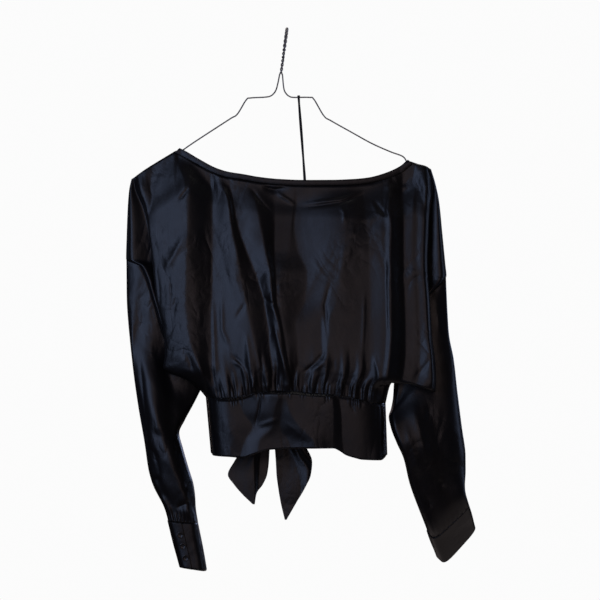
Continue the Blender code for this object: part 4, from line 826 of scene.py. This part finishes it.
def back_band_points(side, away, down):
    """Half of the waistband's back, drawn in to the knot; away is the distance from the knot."""
    left, right = ends(WAIST, "x")
    knot = (KNOT["x"] - left) / (right - left)
    share = knot + (away + KNOT["wide"] - 3.0) / (right - left) * (-1 if side == "left" else 1)
    share = np.clip(share, 0, 1)
    top, bottom = (read(BACK_BAND, name, away) for name in ("top", "bottom"))
    near = ease(1 - away / 45)
    point = band_points(False, share, between(top, bottom, down))
    pleats = 2.0 * np.sin(2 * math.pi * down) + 1.5 * np.sin(6 * math.pi * down + 0.05 * away)
    point[:, 1] += 4.5 * near + pleats * near
    return point


def knot_pinch(across):
    """How much of its height the knot keeps, across being -1 to 1."""
    return 1 - 0.22 * np.exp(-(across / 0.35) ** 2)


def tail_points(side, across, drop):
    """A tail of the tie, from under the knot; drop is the distance below the hook."""
    rows = TIE_TAIL[side]
    left, right, y = (read(rows, name, drop) for name in ("left", "right", "y"))
    sign = 1 if side == "left" else -1
    pleat = 0.6 * np.sin(2 * math.pi * across * 1.1 + 0.6 * sign) * ease((690 - drop) / 100)
    pleat += 0.5 * np.sin(2 * math.pi * across * 3.2 + 0.02 * drop) * ease((640 - drop) / 60)
    x = between(left, right, across)
    pleat -= pleat_height(TAIL_FOLDS[side], TAIL_FOLD_Z, x, -drop) * ease((drop - 572) / 18)
    knot_across = (x - KNOT["x"]) / KNOT["wide"]
    knot_along = (y + pleat - KNOT["y"]) / (KNOT["deep"] * 1.12)
    inside_knot = np.sqrt(np.maximum(0.0, 1 - knot_across ** 2 - knot_along ** 2))
    under = KNOT["z"] - KNOT["high"] * knot_pinch(knot_across) * inside_knot
    first, second = rows["drop"][:2]
    lift = (under + 1.5 + first) * ease((second - drop) / (second - first))
    return points(x, y + pleat, lift - drop)


def knot_point(x, y, z):
    """A point of the knot, from one on a ball of radius 1: one fold laps over the pleats of the rest."""
    over = math.exp(-((x + 0.25 * z) / 0.42) ** 2)
    pleats = 0.035 * math.sin(16 * z + 5 * x) * (1 - over) + 0.04 * math.sin(17 * x + 4 * z) * over
    fold = 1 + 0.10 * over - 0.07 * math.exp(-((abs(x + 0.25 * z) - 0.5) / 0.09) ** 2) + pleats
    return Vector((KNOT["x"] + KNOT["wide"] * x * (1 + 0.3 * (fold - 1)),
                   KNOT["y"] + KNOT["deep"] * y * fold,
                   KNOT["z"] + KNOT["high"] * z * knot_pinch(x) * (1 + 0.5 * (fold - 1)))) * MM


# ---- making pieces ----

def spaced(*pieces):
    """Stations from (start, end, count) runs that follow each other."""
    runs = [np.linspace(start, end, count, endpoint=False) for start, end, count in pieces]
    return np.concatenate(runs + [np.array([pieces[-1][1]])])


def added(name, data):
    piece = bpy.data.objects.new(name, data)
    bpy.context.scene.collection.objects.link(piece)
    return piece


def mesh_piece(name, made):
    mesh = bpy.data.meshes.new(name)
    made.to_mesh(mesh)
    made.free()
    return added(name, mesh)


def cloth_sheet(name, columns, rows, place, wall, joined=False):
    """A grid of cloth, put in place by place(column, row) in mm, with its lengths as a UV map in metres."""
    sheet = bmesh.new()
    bmesh.ops.create_grid(sheet, x_segments=len(columns) - 1, y_segments=len(rows) - 1, size=1)
    mesh = bpy.data.meshes.new(name)
    sheet.to_mesh(mesh)
    sheet.free()
    flat = np.empty(len(mesh.vertices) * 3)
    mesh.vertices.foreach_get("co", flat)
    flat = flat.reshape(-1, 3)
    i = np.rint((flat[:, 0] + 1) / 2 * (len(columns) - 1)).astype(int)
    j = np.rint((1 - flat[:, 1]) / 2 * (len(rows) - 1)).astype(int)
    placed = place(columns[i], rows[j]) * MM
    mesh.vertices.foreach_set("co", placed.ravel())

    grid = np.empty((len(rows), len(columns), 3))
    grid[j, i] = placed
    right = np.linalg.norm(np.diff(grid, axis=1), axis=-1).cumsum(axis=1)
    down = np.linalg.norm(np.diff(grid, axis=0), axis=-1).cumsum(axis=0)
    u = np.pad(right, ((0, 0), (1, 0)))[j, i]
    v_grid = np.pad(down, ((1, 0), (0, 0)))
    v = v_grid[j, i]
    lengths = {"from_top": v, "from_low": v_grid[-1][i] - v}
    for label, values in lengths.items():
        mesh.attributes.new(label, "FLOAT", "POINT").data.foreach_set("value", values)
    corner = np.empty(len(mesh.loops), dtype=int)
    mesh.loops.foreach_get("vertex_index", corner)
    uv = np.stack((u[corner], -v[corner]), axis=-1)
    mesh.uv_layers.new(name="cloth").data.foreach_set("uv", uv.ravel())
    if joined:
        tube = bmesh.new()
        tube.from_mesh(mesh)
        bmesh.ops.remove_doubles(tube, verts=tube.verts, dist=1e-6)
        tube.to_mesh(mesh)
        tube.free()
    mesh.shade_smooth()
    piece = added(name, mesh)
    thick = piece.modifiers.new("wall", "SOLIDIFY")
    thick.thickness = wall
    thick.offset = 0
    return piece


def finished(piece, nodes, finish):
    """Gives a piece its finish and its place in the frame."""
    piece.data.materials.clear()
    piece.data.materials.append(finish)
    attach(piece, "root")
    if nodes:
        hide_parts(*nodes)
    return piece


def satin_piece(kind, node, finish_name, columns, rows, place, joined=False):
    """A sheet of satin that replaces a node."""
    cloth = bpy.context.scene.crop_top_cloth
    wall, crumple, stitches = KINDS[kind]
    piece = cloth_sheet(node + "_satin", columns, rows, place, wall * MM if wall else cloth.wall, joined)
    return finished(piece, [node], satin_finish(finish_name, cloth, crumple, stitches))


# ---- finishes ----

class Number:
    """A node's output that takes part in arithmetic: each operation adds its Math node."""

    def __init__(self, nodes, socket):
        self.nodes = nodes
        self.socket = socket

    def math(self, operation, *values):
        return self.nodes.node("ShaderNodeMath", {"operation": operation}, dict(enumerate(values)))

    def __add__(self, other):
        return self.math("ADD", self, other)

    def __sub__(self, other):
        return self.math("SUBTRACT", self, other)

    def __rsub__(self, other):
        return self.math("SUBTRACT", other, self)

    def __mul__(self, other):
        return self.math("MULTIPLY", self, other)

    __radd__ = __add__
    __rmul__ = __mul__

    def __truediv__(self, other):
        return self.math("DIVIDE", self, other)

    def size(self):
        return self.math("ABSOLUTE", self)

    def wave(self):
        return self.math("SINE", self)

    def parts(self):
        return self.math("FRACT", self)

    def near(self, value, half_width):
        """1 within half_width of value."""
        return self.math("COMPARE", self, value, half_width)

    def above(self, value):
        return self.math("GREATER_THAN", self, value)


class Nodes:
    """A node tree and the one method that adds nodes to it."""

    def __init__(self, tree):
        self.tree = tree

    def feed(self, socket, value):
        if isinstance(value, Number):
            self.tree.links.new(value.socket, socket)
        else:
            socket.default_value = value

    def node(self, kind, settings=None, inputs=None, output=0):
        made = self.tree.nodes.new(kind)
        for setting_name, value in (settings or {}).items():
            setattr(made, setting_name, value)
        for socket, value in (inputs or {}).items():
            self.feed(made.inputs[socket], value)
        return Number(self, made.outputs[output])


class Finish(Nodes):
    """A material with a Principled shader and short ways to add nodes to it."""

    def __init__(self, name):
        self.material = bpy.data.materials.new(name)
        self.material.use_nodes = True
        super().__init__(self.material.node_tree)

    def set(self, **values):
        for socket, value in values.items():
            self.feed(self.tree.nodes["Principled BSDF"].inputs[socket.replace("_", " ")], value)

    def place(self):
        return self.node("ShaderNodeTexCoord", output="Object")

    def lengths(self):
        """The cloth's own map, in metres along it and down it."""
        return self.node("ShaderNodeUVMap", {"uv_map": "cloth"})

    def part(self, vector, axis):
        return self.node("ShaderNodeSeparateXYZ", None, {0: vector}, output=axis)

    def noise(self, vector, scale, detail=2.0, distortion=0.0, stretch=(1, 1, 1)):
        vector = self.node("ShaderNodeMapping", None, {"Vector": vector, "Scale": stretch})
        return self.node("ShaderNodeTexNoise", None,
                         {"Vector": vector, "Scale": scale, "Detail": detail, "Distortion": distortion})

    def blend(self, share, *colours):
        """Mixes two colours, each a node's or three numbers."""
        first, second = (each if isinstance(each, Number) else (*each, 1) for each in colours)
        return self.node("ShaderNodeMix", {"data_type": "RGBA"}, {0: share, 6: first, 7: second}, output=2)

    def ramp(self, value, low, high):
        return self.node("ShaderNodeMapRange", {"interpolation_type": "SMOOTHSTEP"},
                         {0: value, 1: low, 2: high})

    def bump(self, height_mm):
        """Raises the surface by a height in millimetres."""
        self.set(Normal=self.node("ShaderNodeBump", None,
                                  {"Height": height_mm, "Strength": 1.0, "Distance": MM}))


def stitch_row(along, distance, inset):
    """1 on the stitches of a sewn line; along and distance are in metres."""
    on_line = distance.near(inset * MM, STITCH["half_width"] * MM)
    return on_line * (along / (STITCH["pitch"] * MM)).parts().above(STITCH["gap"] / STITCH["pitch"])


def satin_finish(name, cloth, crumple, rows):
    """Black satin: fine warp floats, a soft crumple and, where rows are given, lines of machine stitches."""
    if name in bpy.data.materials:
        return bpy.data.materials[name]
    finish = Finish(name)
    lengths = finish.lengths()
    place = finish.place()
    broad = finish.noise(place, 17.0, 3.0, 0.7, (1.0, 1.0, 0.42))
    fine = finish.noise(place, 62.0, 3.0, 0.4, (1.0, 1.0, 0.6))
    long_crease = (finish.noise(place, 21.0, 1.5, 0.9, (1.0, 1.0, 0.5)) - 0.5).size()
    short_crease = (finish.noise(place, 58.0, 1.0, 0.5, (1.0, 1.0, 0.8)) - 0.5).size()
    creased = finish.ramp(finish.noise(place, 9.0, 1.0), 0.40, 0.62)
    floats = finish.noise(lengths, 1.0, 2.0, 0.0, (2600.0, 240.0, 1.0))
    slubs = finish.noise(lengths, 1.0, 1.0, 0.0, (520.0, 26.0, 1.0))
    height = broad * (crumple * 2.2) + fine * (crumple * 0.7) + floats * 0.012 + slubs * 0.016
    height = height + long_crease * creased * (crumple * 14.0) + short_crease * creased * (crumple * 3.6)
    warm, cool = (tuple(value * tone for value, tone in zip(cloth.satin_colour, tones))
                  for tones in ((1.25, 1.05, 1.0), (0.95, 1.05, 1.25)))
    colour = finish.blend(finish.ramp(broad + (floats - 0.5) * 0.5, 0.3, 0.7), warm, cool)
    if rows:
        along = finish.part(lengths, "X")
        sewn = None
        for edge, inset in rows:
            distance = finish.node("ShaderNodeAttribute", {"attribute_name": edge}, output="Fac")
            row = stitch_row(along, distance, inset)
            groove = distance.near(inset * MM, STITCH["half_groove"] * MM)
            height = height - groove * 0.10 + row * 0.16
            sewn = row if sewn is None else sewn + row
        colour = finish.blend(sewn, colour, cloth.thread_colour)
    finish.bump(height)
    rough = cloth.satin_roughness + (floats - 0.5) * 0.10 + (fine - 0.5) * 0.12
    finish.set(Base_Color=colour, Roughness=rough)
    return finish.material


def ribbon_finish():
    """Black ribbon with a rib every 0.6 mm."""
    finish = Finish("ribbon_weave")
    lengths = finish.lengths()
    ribs = (finish.part(lengths, "Y") * (2 * math.pi / 0.0006)).wave()
    finish.bump(ribs * 0.03 + finish.noise(lengths, 900.0) * 0.05)
    finish.set(Base_Color=(0.010, 0.0095, 0.0095, 1), Roughness=0.55 + ribs * 0.06)
    return finish.material


def button_finish():
    """Black plastic, faintly cloudy and scuffed."""
    finish = Finish("button_plastic")
    place = finish.place()
    cloudy = finish.noise(place, 420.0)
    scuffs = finish.noise(place, 2400.0)
    finish.bump(cloudy * 0.02 + scuffs * 0.01)
    colour = finish.blend(cloudy, (0.014, 0.013, 0.013), (0.028, 0.025, 0.024))
    finish.set(Base_Color=colour, Roughness=0.18 + scuffs * 0.14, Coat_Weight=0.4)
    return finish.material


def thread_finish(cloth):
    """Twisted sewing thread."""
    finish = Finish("sewing_thread")
    twist = finish.noise(finish.place(), 5200.0)
    finish.bump(twist * 0.08)
    finish.set(Base_Color=(*cloth.thread_colour, 1), Roughness=0.5 + twist * 0.2)
    return finish.material


def steel_finish(hanger):
    """Drawn wire: grey, a little dull, with long faint scratches and darker stains."""
    finish = Finish("drawn_steel")
    place = finish.place()
    stain = finish.noise(place, 55.0, 4.0, 0.6)
    scratch = finish.noise(place, 1500.0, 3.0, 0.0, (1.0, 1.0, 0.25))
    dark = tuple(value * 0.62 for value in hanger.steel_colour)
    colour = finish.blend(finish.ramp(stain, 0.35, 0.65), dark, hanger.steel_colour)
    finish.bump(scratch * 0.02 + stain * 0.03)
    finish.set(Base_Color=colour, Metallic=0.40, Roughness=0.42 + scratch * 0.16)
    return finish.material


def floor_finish():
    """A white floor that glows, so that it matches the backdrop."""
    finish = Finish("pale_floor")
    speck = finish.noise(finish.place(), 9.0, 4.0)
    finish.bump(speck * 0.4)
    pale = finish.blend(speck, (0.80, 0.80, 0.79), (0.86, 0.86, 0.85))
    finish.set(Base_Color=pale, Emission_Color=pale, Emission_Strength=0.72, Roughness=0.8)
    return finish.material


# ---- cuff buttons and hook ----

def button_place(side, down):
    """Place of a button on the lapped end of the cuff."""
    turn = np.array([BUTTON_ANGLE[side] / 360])
    down = np.array([down])
    foot = Vector(cuff_points(side, turn, down, [BUTTON_SEAT])[0])
    outer = Vector(cuff_points(side, turn, down, [BUTTON_SEAT + 5])[0]) - foot
    along = Vector(cuff_points(side, turn + 0.01, down, [BUTTON_SEAT])[0]) - foot
    up = Vector(cuff_axis(side))
    out = along.cross(up).normalized()
    if out.dot(outer) < 0:
        out = -out
    side_way = up.cross(out).normalized()
    facing = Matrix((side_way, out.cross(side_way), out)).transposed()
    return Matrix.Translation(foot * MM) @ facing.to_4x4()


def shifted(x, z):
    return Matrix.Translation((x * MM, 0, z * MM))


def turned(degrees, axis):
    return Matrix.Rotation(math.radians(degrees), 4, axis)


def add_rod(made, segments, low, high, depth, matrix):
    """Adds a capped rod or cone with these radii, in mm."""
    bmesh.ops.create_cone(made, cap_ends=True, segments=segments, radius1=low * MM, radius2=high * MM,
                          depth=depth * MM, matrix=matrix)


def button_body(radius):
    """A button with a rim and a dished face."""
    button = bmesh.new()
    add_rod(button, 40, radius * 0.86, radius * 0.96, BUTTON_THICK, shifted(0, BUTTON_RISE))
    face = max(button.faces, key=lambda each: each.calc_center_median().z)
    for inset, sink in BUTTON_FACE:
        bmesh.ops.inset_individual(button, faces=[face], thickness=inset * MM, depth=sink * MM)
    return button


def button_thread():
    """Two crossed stitches on a button's face, the thread in its four holes and its shank."""
    sewn = bmesh.new()
    for turn in (0, 1):
        across = turned(45 + 90 * turn, "Z") @ turned(90, "X")
        add_rod(sewn, 10, 0.28, 0.28, 2.9, shifted(0, THREAD_RISE + 0.3 * turn) @ across)
    for angle in (45, 135, 225, 315):
        add_rod(sewn, 12, 0.52, 0.52, 0.12, turned(angle, "Z") @ shifted(HOLE_RING, THREAD_RISE))
    add_rod(sewn, 14, 1.2, 1.0, 0.9, shifted(0, 0.1))
    return sewn


def hook_strand(side, pitch):
    """One of the two wires that twist round each other, from where they part to the end of the hook."""
    radius = HOOK_RADIUS + WIRE_HALF + STRAND_OFFSET
    angles = np.radians(np.linspace(*HOOK_TURN, 17))
    curl = np.stack((np.cos(angles) * radius, np.sin(angles) * radius - HOOK_RADIUS), axis=-1)
    path = np.concatenate((HOOK_STEM, curl))
    dense = spline(path, np.linspace(0, len(path) - 1, 1200))
    length = np.concatenate(([0], np.linalg.norm(np.diff(dense, axis=0), axis=-1).cumsum()))
    steps = int(length[-1] / pitch * 16)
    at = np.linspace(0, length[-1], steps)
    y, z = (np.interp(at, length, dense[:, axis]) for axis in (0, 1))
    middle = points((z - radius + HOOK_RADIUS) * math.tan(HOOK_LEAN), y, z)
    along = unit(np.gradient(middle, axis=0))
    beside = unit(np.array([1.0, 0, 0]) - along * along[:, :1])
    third = np.cross(along, beside)
    angle = (math.pi if side == "left" else 0.0) + 2 * math.pi * at / pitch
    return middle + STRAND_OFFSET * (beside * np.cos(angle)[:, None] + third * np.sin(angle)[:, None])


def wire_route(side, pitch):
    """One wire from its end inside the shoulder, along the arm and up into the hook."""
    tip = HANGER_TIP[side]
    covered = np.stack((tip["x"], line_at(SHOULDER[side], tip["x"]) - tip["drop"]), axis=-1)
    arm = np.stack(tuple(HANGER_ARM[side].values()), axis=-1)
    open_wire = np.concatenate((arm, covered, [HANGER_CURL[side]]))
    smooth = spline(open_wire, np.linspace(0, len(open_wire) - 1, 12 * len(open_wire)))
    arm_wire = points(smooth[:, 0], np.zeros(len(smooth)), smooth[:, 1])
    strand = hook_strand(side, pitch)
    joint = spline([arm_wire[4], arm_wire[0], strand[0], strand[3]], np.linspace(1, 2, 8))[1:-1]
    return np.concatenate((arm_wire[::-1], joint, strand))


def wire_piece(name, route, radius):
    curve = bpy.data.curves.new(name, "CURVE")
    curve.dimensions = "3D"
    curve.bevel_depth = radius
    curve.bevel_resolution = 3
    curve.use_fill_caps = True
    line = curve.splines.new("POLY")
    line.points.add(len(route) - 1)
    flat = np.concatenate((route * MM, np.ones((len(route), 1))), axis=1)
    line.points.foreach_set("co", flat.ravel())
    line.use_smooth = True
    return added(name, curve)


# ---- operators ----

class CROPTOP_OT_front(bpy.types.Operator):
    """Add the front panel, with its pleats, creases and gathers"""
    bl_idname = "crop_top.front"
    bl_label = "Front panel"

    def execute(self, context):
        cloth = context.scene.crop_top_cloth
        beside = spaced((5, 4, 9), (4, 3, 9), (3, 2, 9), (2, 1, 12))[:-1]
        columns = np.concatenate((-beside, spaced((-1, 1, 216)), beside[::-1]))
        rows = spaced((0, 0.03, 10), (0.03, 0.20, 28), (0.20, 0.86, 76), (0.86, 1.0, 30))
        piece = satin_piece("panel", "front_panel", "front_satin", columns, rows,
                            lambda across, level: front_points(across, level, cloth))
        return {"FINISHED"}


class CROPTOP_OT_backs(bpy.types.Operator):
    """Add the two back panels either side of the open back"""
    bl_idname = "crop_top.backs"
    bl_label = "Back panels"

    def execute(self, context):
        cloth = context.scene.crop_top_cloth
        columns = np.concatenate((spaced((-4, 0, 38))[:-1], spaced((0, 1, 120))))
        rows = spaced((0, 0.03, 10), (0.03, 0.16, 14), (0.16, 0.86, 50), (0.86, 1.0, 30))
        for side in SIDES:
            def place(across, level):
                limit = binding_share(side, level, cloth, -BACK_UNDER_BINDING)
                return back_points(side, np.where(across < 0, across, across * limit), level, cloth)

            piece = satin_piece("panel", "back_panel_" + side, "back_satin_" + side, columns, rows, place)
        return {"FINISHED"}


class CROPTOP_OT_sleeves(bpy.types.Operator):
    """Add the two long sleeves"""
    bl_idname = "crop_top.sleeves"
    bl_label = "Sleeves"

    def execute(self, context):
        turns = np.linspace(0, 1, SLEEVE_COLUMNS_ROUND + 1)
        rows = spaced((0, 0.1, 14), (0.1, 0.88, 80), (0.88, 1.0, 30))
        for side in SIDES:
            piece = satin_piece("sleeve", "sleeve_" + side, "sleeve_satin_" + side, turns, rows,
                                lambda turn, down: sleeve_points(side, turn, down), joined=True)
        return {"FINISHED"}


class CROPTOP_OT_cuffs(bpy.types.Operator):
    """Add the two cuffs, each a strip lapped over its own end"""
    bl_idname = "crop_top.cuffs"
    bl_label = "Cuffs"

    def execute(self, context):
        for side in SIDES:
            start, end = cuff_turns(side)

            def place(turn, down):
                share = (turn - start) / (end - start)
                soft = 0.5 * np.sin(14 * turn + 3 * down) * np.sin(math.pi * down)
                lap = CUFF_LIFT * (share - 0.5) * 1.25 + 0.15 * ease((share - 0.93) / 0.07)
                return cuff_points(side, turn, down, lap + soft)

            piece = satin_piece("cuff", "cuff_" + side, "cuff_satin_" + side,
                                np.linspace(start, end, 150), spaced((0, 1, 24)), place)
        return {"FINISHED"}


class CROPTOP_OT_buttons(bpy.types.Operator):
    """Add the cuff buttons, each with a rim, four holes and the thread that fills them"""
    bl_idname = "crop_top.buttons"
    bl_label = "Cuff buttons"

    def execute(self, context):
        cloth = context.scene.crop_top_cloth
        plastic, thread = button_finish(), thread_finish(cloth)
        for side in SIDES:
            for number, down in enumerate(BUTTON_PLACES, 1):
                name = "cuff_button_%s_%d" % (side, number)
                body, sewn = button_body(cloth.button_radius / MM), button_thread()
                for made in (body, sewn):
                    bmesh.ops.transform(made, matrix=button_place(side, down), verts=made.verts)
                piece = mesh_piece(name + "_plastic", body)
                piece.data.shade_smooth()
                piece.data.set_sharp_from_angle(angle=math.radians(50))
                finished(piece, [name], plastic)
                finished(mesh_piece(name + "_thread", sewn), [], thread)
        return {"FINISHED"}


class CROPTOP_OT_waistband(bpy.types.Operator):
    """Add the waistband, in front and in two halves behind"""
    bl_idname = "crop_top.waistband"
    bl_label = "Waistband"

    def execute(self, context):
        shares = (1 - np.cos(np.linspace(0, math.pi, 420))) / 2
        rows = spaced((0, 0.25, 14), (0.25, 1, 24))
        front = satin_piece("band", "waistband_front", "band_satin", shares, rows,
                            lambda share, down: band_points(True, share, down))
        for side in SIDES:
            away = BACK_BAND_REACH[side] * np.linspace(0, 1, 130) ** 1.3
            piece = satin_piece("band", "waistband_back_" + side, "band_satin_" + side, away, rows,
                                lambda out, down: back_band_points(side, out, down))
        return {"FINISHED"}


class CROPTOP_OT_bindings(bpy.types.Operator):
    """Add the narrow folded binding round the neck and down the open back"""
    bl_idname = "crop_top.bindings"
    bl_label = "Neck bindings"

    def execute(self, context):
        cloth = context.scene.crop_top_cloth
        across_rows = np.linspace(0, 1, 10)
        shares = spaced((0, 0.03, 12), (0.03, 0.97, 320), (0.97, 1, 12))
        piece = satin_piece("binding", "neck_binding_front", "binding_satin", shares, across_rows,
                            lambda share, down: front_binding_points(share, down, cloth))
        levels = spaced((0, 0.05, 14), (0.05, 0.995, 240))
        for side in SIDES:
            piece = satin_piece("binding", "neck_binding_back_" + side, "binding_satin_" + side,
                                levels, across_rows,
                                lambda down, across: back_binding_points(side, down, across, cloth))
        return {"FINISHED"}


class CROPTOP_OT_ties(bpy.types.Operator):
    """Add the knot at the back and the two pointed tails that hang from it"""
    bl_idname = "crop_top.ties"
    bl_label = "Back tie"

    def execute(self, context):
        for side in SIDES:
            drops = np.linspace(*ends(TIE_TAIL[side], "drop"), 70)
            piece = satin_piece("tail", "tie_tail_" + side, "tie_satin", np.linspace(0, 1, 48), drops,
                                lambda across, drop: tail_points(side, across, drop))
        knot = bmesh.new()
        bmesh.ops.create_uvsphere(knot, u_segments=96, v_segments=64, radius=1)
        for vert in knot.verts:
            vert.co = knot_point(*vert.co)
        piece = mesh_piece("tie_knot_satin", knot)
        piece.data.shade_smooth()
        piece.data.uv_layers.new(name="cloth")
        finish = satin_finish("knot_satin", context.scene.crop_top_cloth, KNOT_CRUMPLE, [])
        finished(piece, ["tie_knot"], finish)
        return {"FINISHED"}


class CROPTOP_OT_hanger(bpy.types.Operator):
    """Add the hanger: two wires, twisted together into the hook"""
    bl_idname = "crop_top.hanger"
    bl_label = "Wire hanger"

    def execute(self, context):
        hanger = context.scene.crop_top_hanger
        steel = steel_finish(hanger)
        for side in SIDES:
            route = wire_route(side, hanger.twist_pitch / MM)
            piece = wire_piece("hanger_wire_%s_steel" % side, route, hanger.wire_radius)
            finished(piece, ["hanger_wire_" + side], steel)
        return {"FINISHED"}


class CROPTOP_OT_ribbon(bpy.types.Operator):
    """Add the narrow ribbon that hangs the top from the wire"""
    bl_idname = "crop_top.ribbon"
    bl_label = "Hanging ribbon"

    def execute(self, context):
        hanger = context.scene.crop_top_hanger
        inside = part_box("hanger_loop")[0][1] / MM + 0.5
        top, foot = LOOP_TOP[1], LOOP_FOOT[1]
        legs = np.array([
            (inside, foot), (inside + 0.1, foot + 12), (-6.0, -190), (-3.4, -150), (-2.2, -120),
            (-1.9, top - 4), (-1.4, top - 1.1), (0, top - 0.1), (1.4, top - 1.1), (1.9, top - 4),
            (0.6, -120), (-1.2, -150), (-4.4, -190), (inside + 1.4, foot + 12), (inside + 1.4, foot)])

        def place(across, number):
            y, z = spline(legs, number).T
            share = (top - z) / (top - foot)
            x = between(LOOP_TOP[0], LOOP_FOOT[0], share) + 0.5 * np.sin(number * 1.3)
            return points(x + across * hanger.ribbon_width / MM / 2, y, z)

        stations = np.linspace(0, len(legs) - 1, 160)
        piece = cloth_sheet("hanger_loop_ribbon", np.linspace(-1, 1, 7), stations, place, RIBBON_WALL * MM)
        finished(piece, ["hanger_loop"], ribbon_finish())
        return {"FINISHED"}


class CROPTOP_OT_stage(bpy.types.Operator):
    """Add the camera, the studio lights and the pale floor"""
    bl_idname = "crop_top.stage"
    bl_label = "Camera and studio"

    def execute(self, context):
        stage = context.scene.crop_top_stage
        scene = context.scene
        camera = bpy.data.cameras.new("front_camera")
        camera.lens = stage.focal_length
        camera.sensor_width = 36.0
        view = added("front_camera", camera)
        view.location = (CAMERA_X, -stage.camera_distance, CAMERA_Z)
        view.rotation_euler = (math.radians(90), 0, 0)
        scene.camera = view
        for name, place, size, power, share, colour in LIGHTS:
            self.light(name, place, size, getattr(stage, power) * share, colour)
        floor = bmesh.new()
        bmesh.ops.create_grid(floor, x_segments=1, y_segments=1, size=1.3)
        bmesh.ops.translate(floor, verts=floor.verts, vec=(0, 0, stage.floor_height))
        ground = mesh_piece("floor", floor)
        ground.data.materials.append(floor_finish())
        ground.visible_glossy = ground.visible_diffuse = False
        scene.world = self.room(stage.room_light)
        scene.view_settings.view_transform = "Standard"
        return {"FINISHED"}

    def light(self, name, place, size, power, colour):
        lamp = bpy.data.lights.new(name, "AREA")
        lamp.shape = "RECTANGLE"
        lamp.size, lamp.size_y = size
        lamp.energy = power
        lamp.color = colour
        lit = added(name, lamp)
        lit.location = place
        lit.rotation_euler = (Vector(LIT_POINT) - Vector(place)).to_track_quat("-Z", "Y").to_euler()
        lit.visible_camera = False

    def room(self, strength):
        """A dim warm room that looks white behind the top."""
        world = bpy.data.worlds.new("studio")
        world.use_nodes = True
        nodes = Nodes(world.node_tree)
        dim = nodes.tree.nodes["Background"]
        nodes.feed(dim.inputs["Color"], ROOM_COLOUR)
        nodes.feed(dim.inputs["Strength"], strength)
        pale = nodes.node("ShaderNodeBackground", None, {"Color": BACKDROP_COLOUR})
        seen = nodes.node("ShaderNodeLightPath", output="Is Camera Ray")
        both = nodes.node("ShaderNodeMixShader", None, {0: seen, 1: Number(nodes, dim.outputs[0]), 2: pale})
        nodes.feed(nodes.tree.nodes["World Output"].inputs["Surface"], both)
        return world


class CROPTOP_PT_sidebar(bpy.types.Panel):
    """The crop top's pieces and settings"""
    bl_label = "Crop top"
    bl_idname = "CROPTOP_PT_sidebar"
    bl_space_type = "VIEW_3D"
    bl_region_type = "UI"
    bl_category = "Crop top"

    def draw(self, context):
        layout = self.layout
        for step in STEPS:
            layout.operator(step.bl_idname)
        for group in SETTINGS:
            settings = getattr(context.scene, group)
            box = layout.box()
            for name in settings.__annotations__:
                box.prop(settings, name)


STEPS = (CROPTOP_OT_stage, CROPTOP_OT_hanger, CROPTOP_OT_front, CROPTOP_OT_backs, CROPTOP_OT_sleeves,
         CROPTOP_OT_cuffs, CROPTOP_OT_buttons, CROPTOP_OT_waistband, CROPTOP_OT_bindings, CROPTOP_OT_ties,
         CROPTOP_OT_ribbon)
SETTINGS = {"crop_top_cloth": CropTopCloth, "crop_top_hanger": CropTopHanger, "crop_top_stage": CropTopStage}


def register():
    for made in (*SETTINGS.values(), *STEPS, CROPTOP_PT_sidebar):
        bpy.utils.register_class(made)
    for name, group in SETTINGS.items():
        setattr(bpy.types.Scene, name, PointerProperty(type=group))


def unregister():
    for name in SETTINGS:
        delattr(bpy.types.Scene, name)
    for made in (CROPTOP_PT_sidebar, *reversed(STEPS), *SETTINGS.values()):
        bpy.utils.unregister_class(made)


def main():
    register()
    for step in STEPS:
        group, name = step.bl_idname.split(".")
        getattr(getattr(bpy.ops, group), name)()


if __name__ == "__main__":
    main()
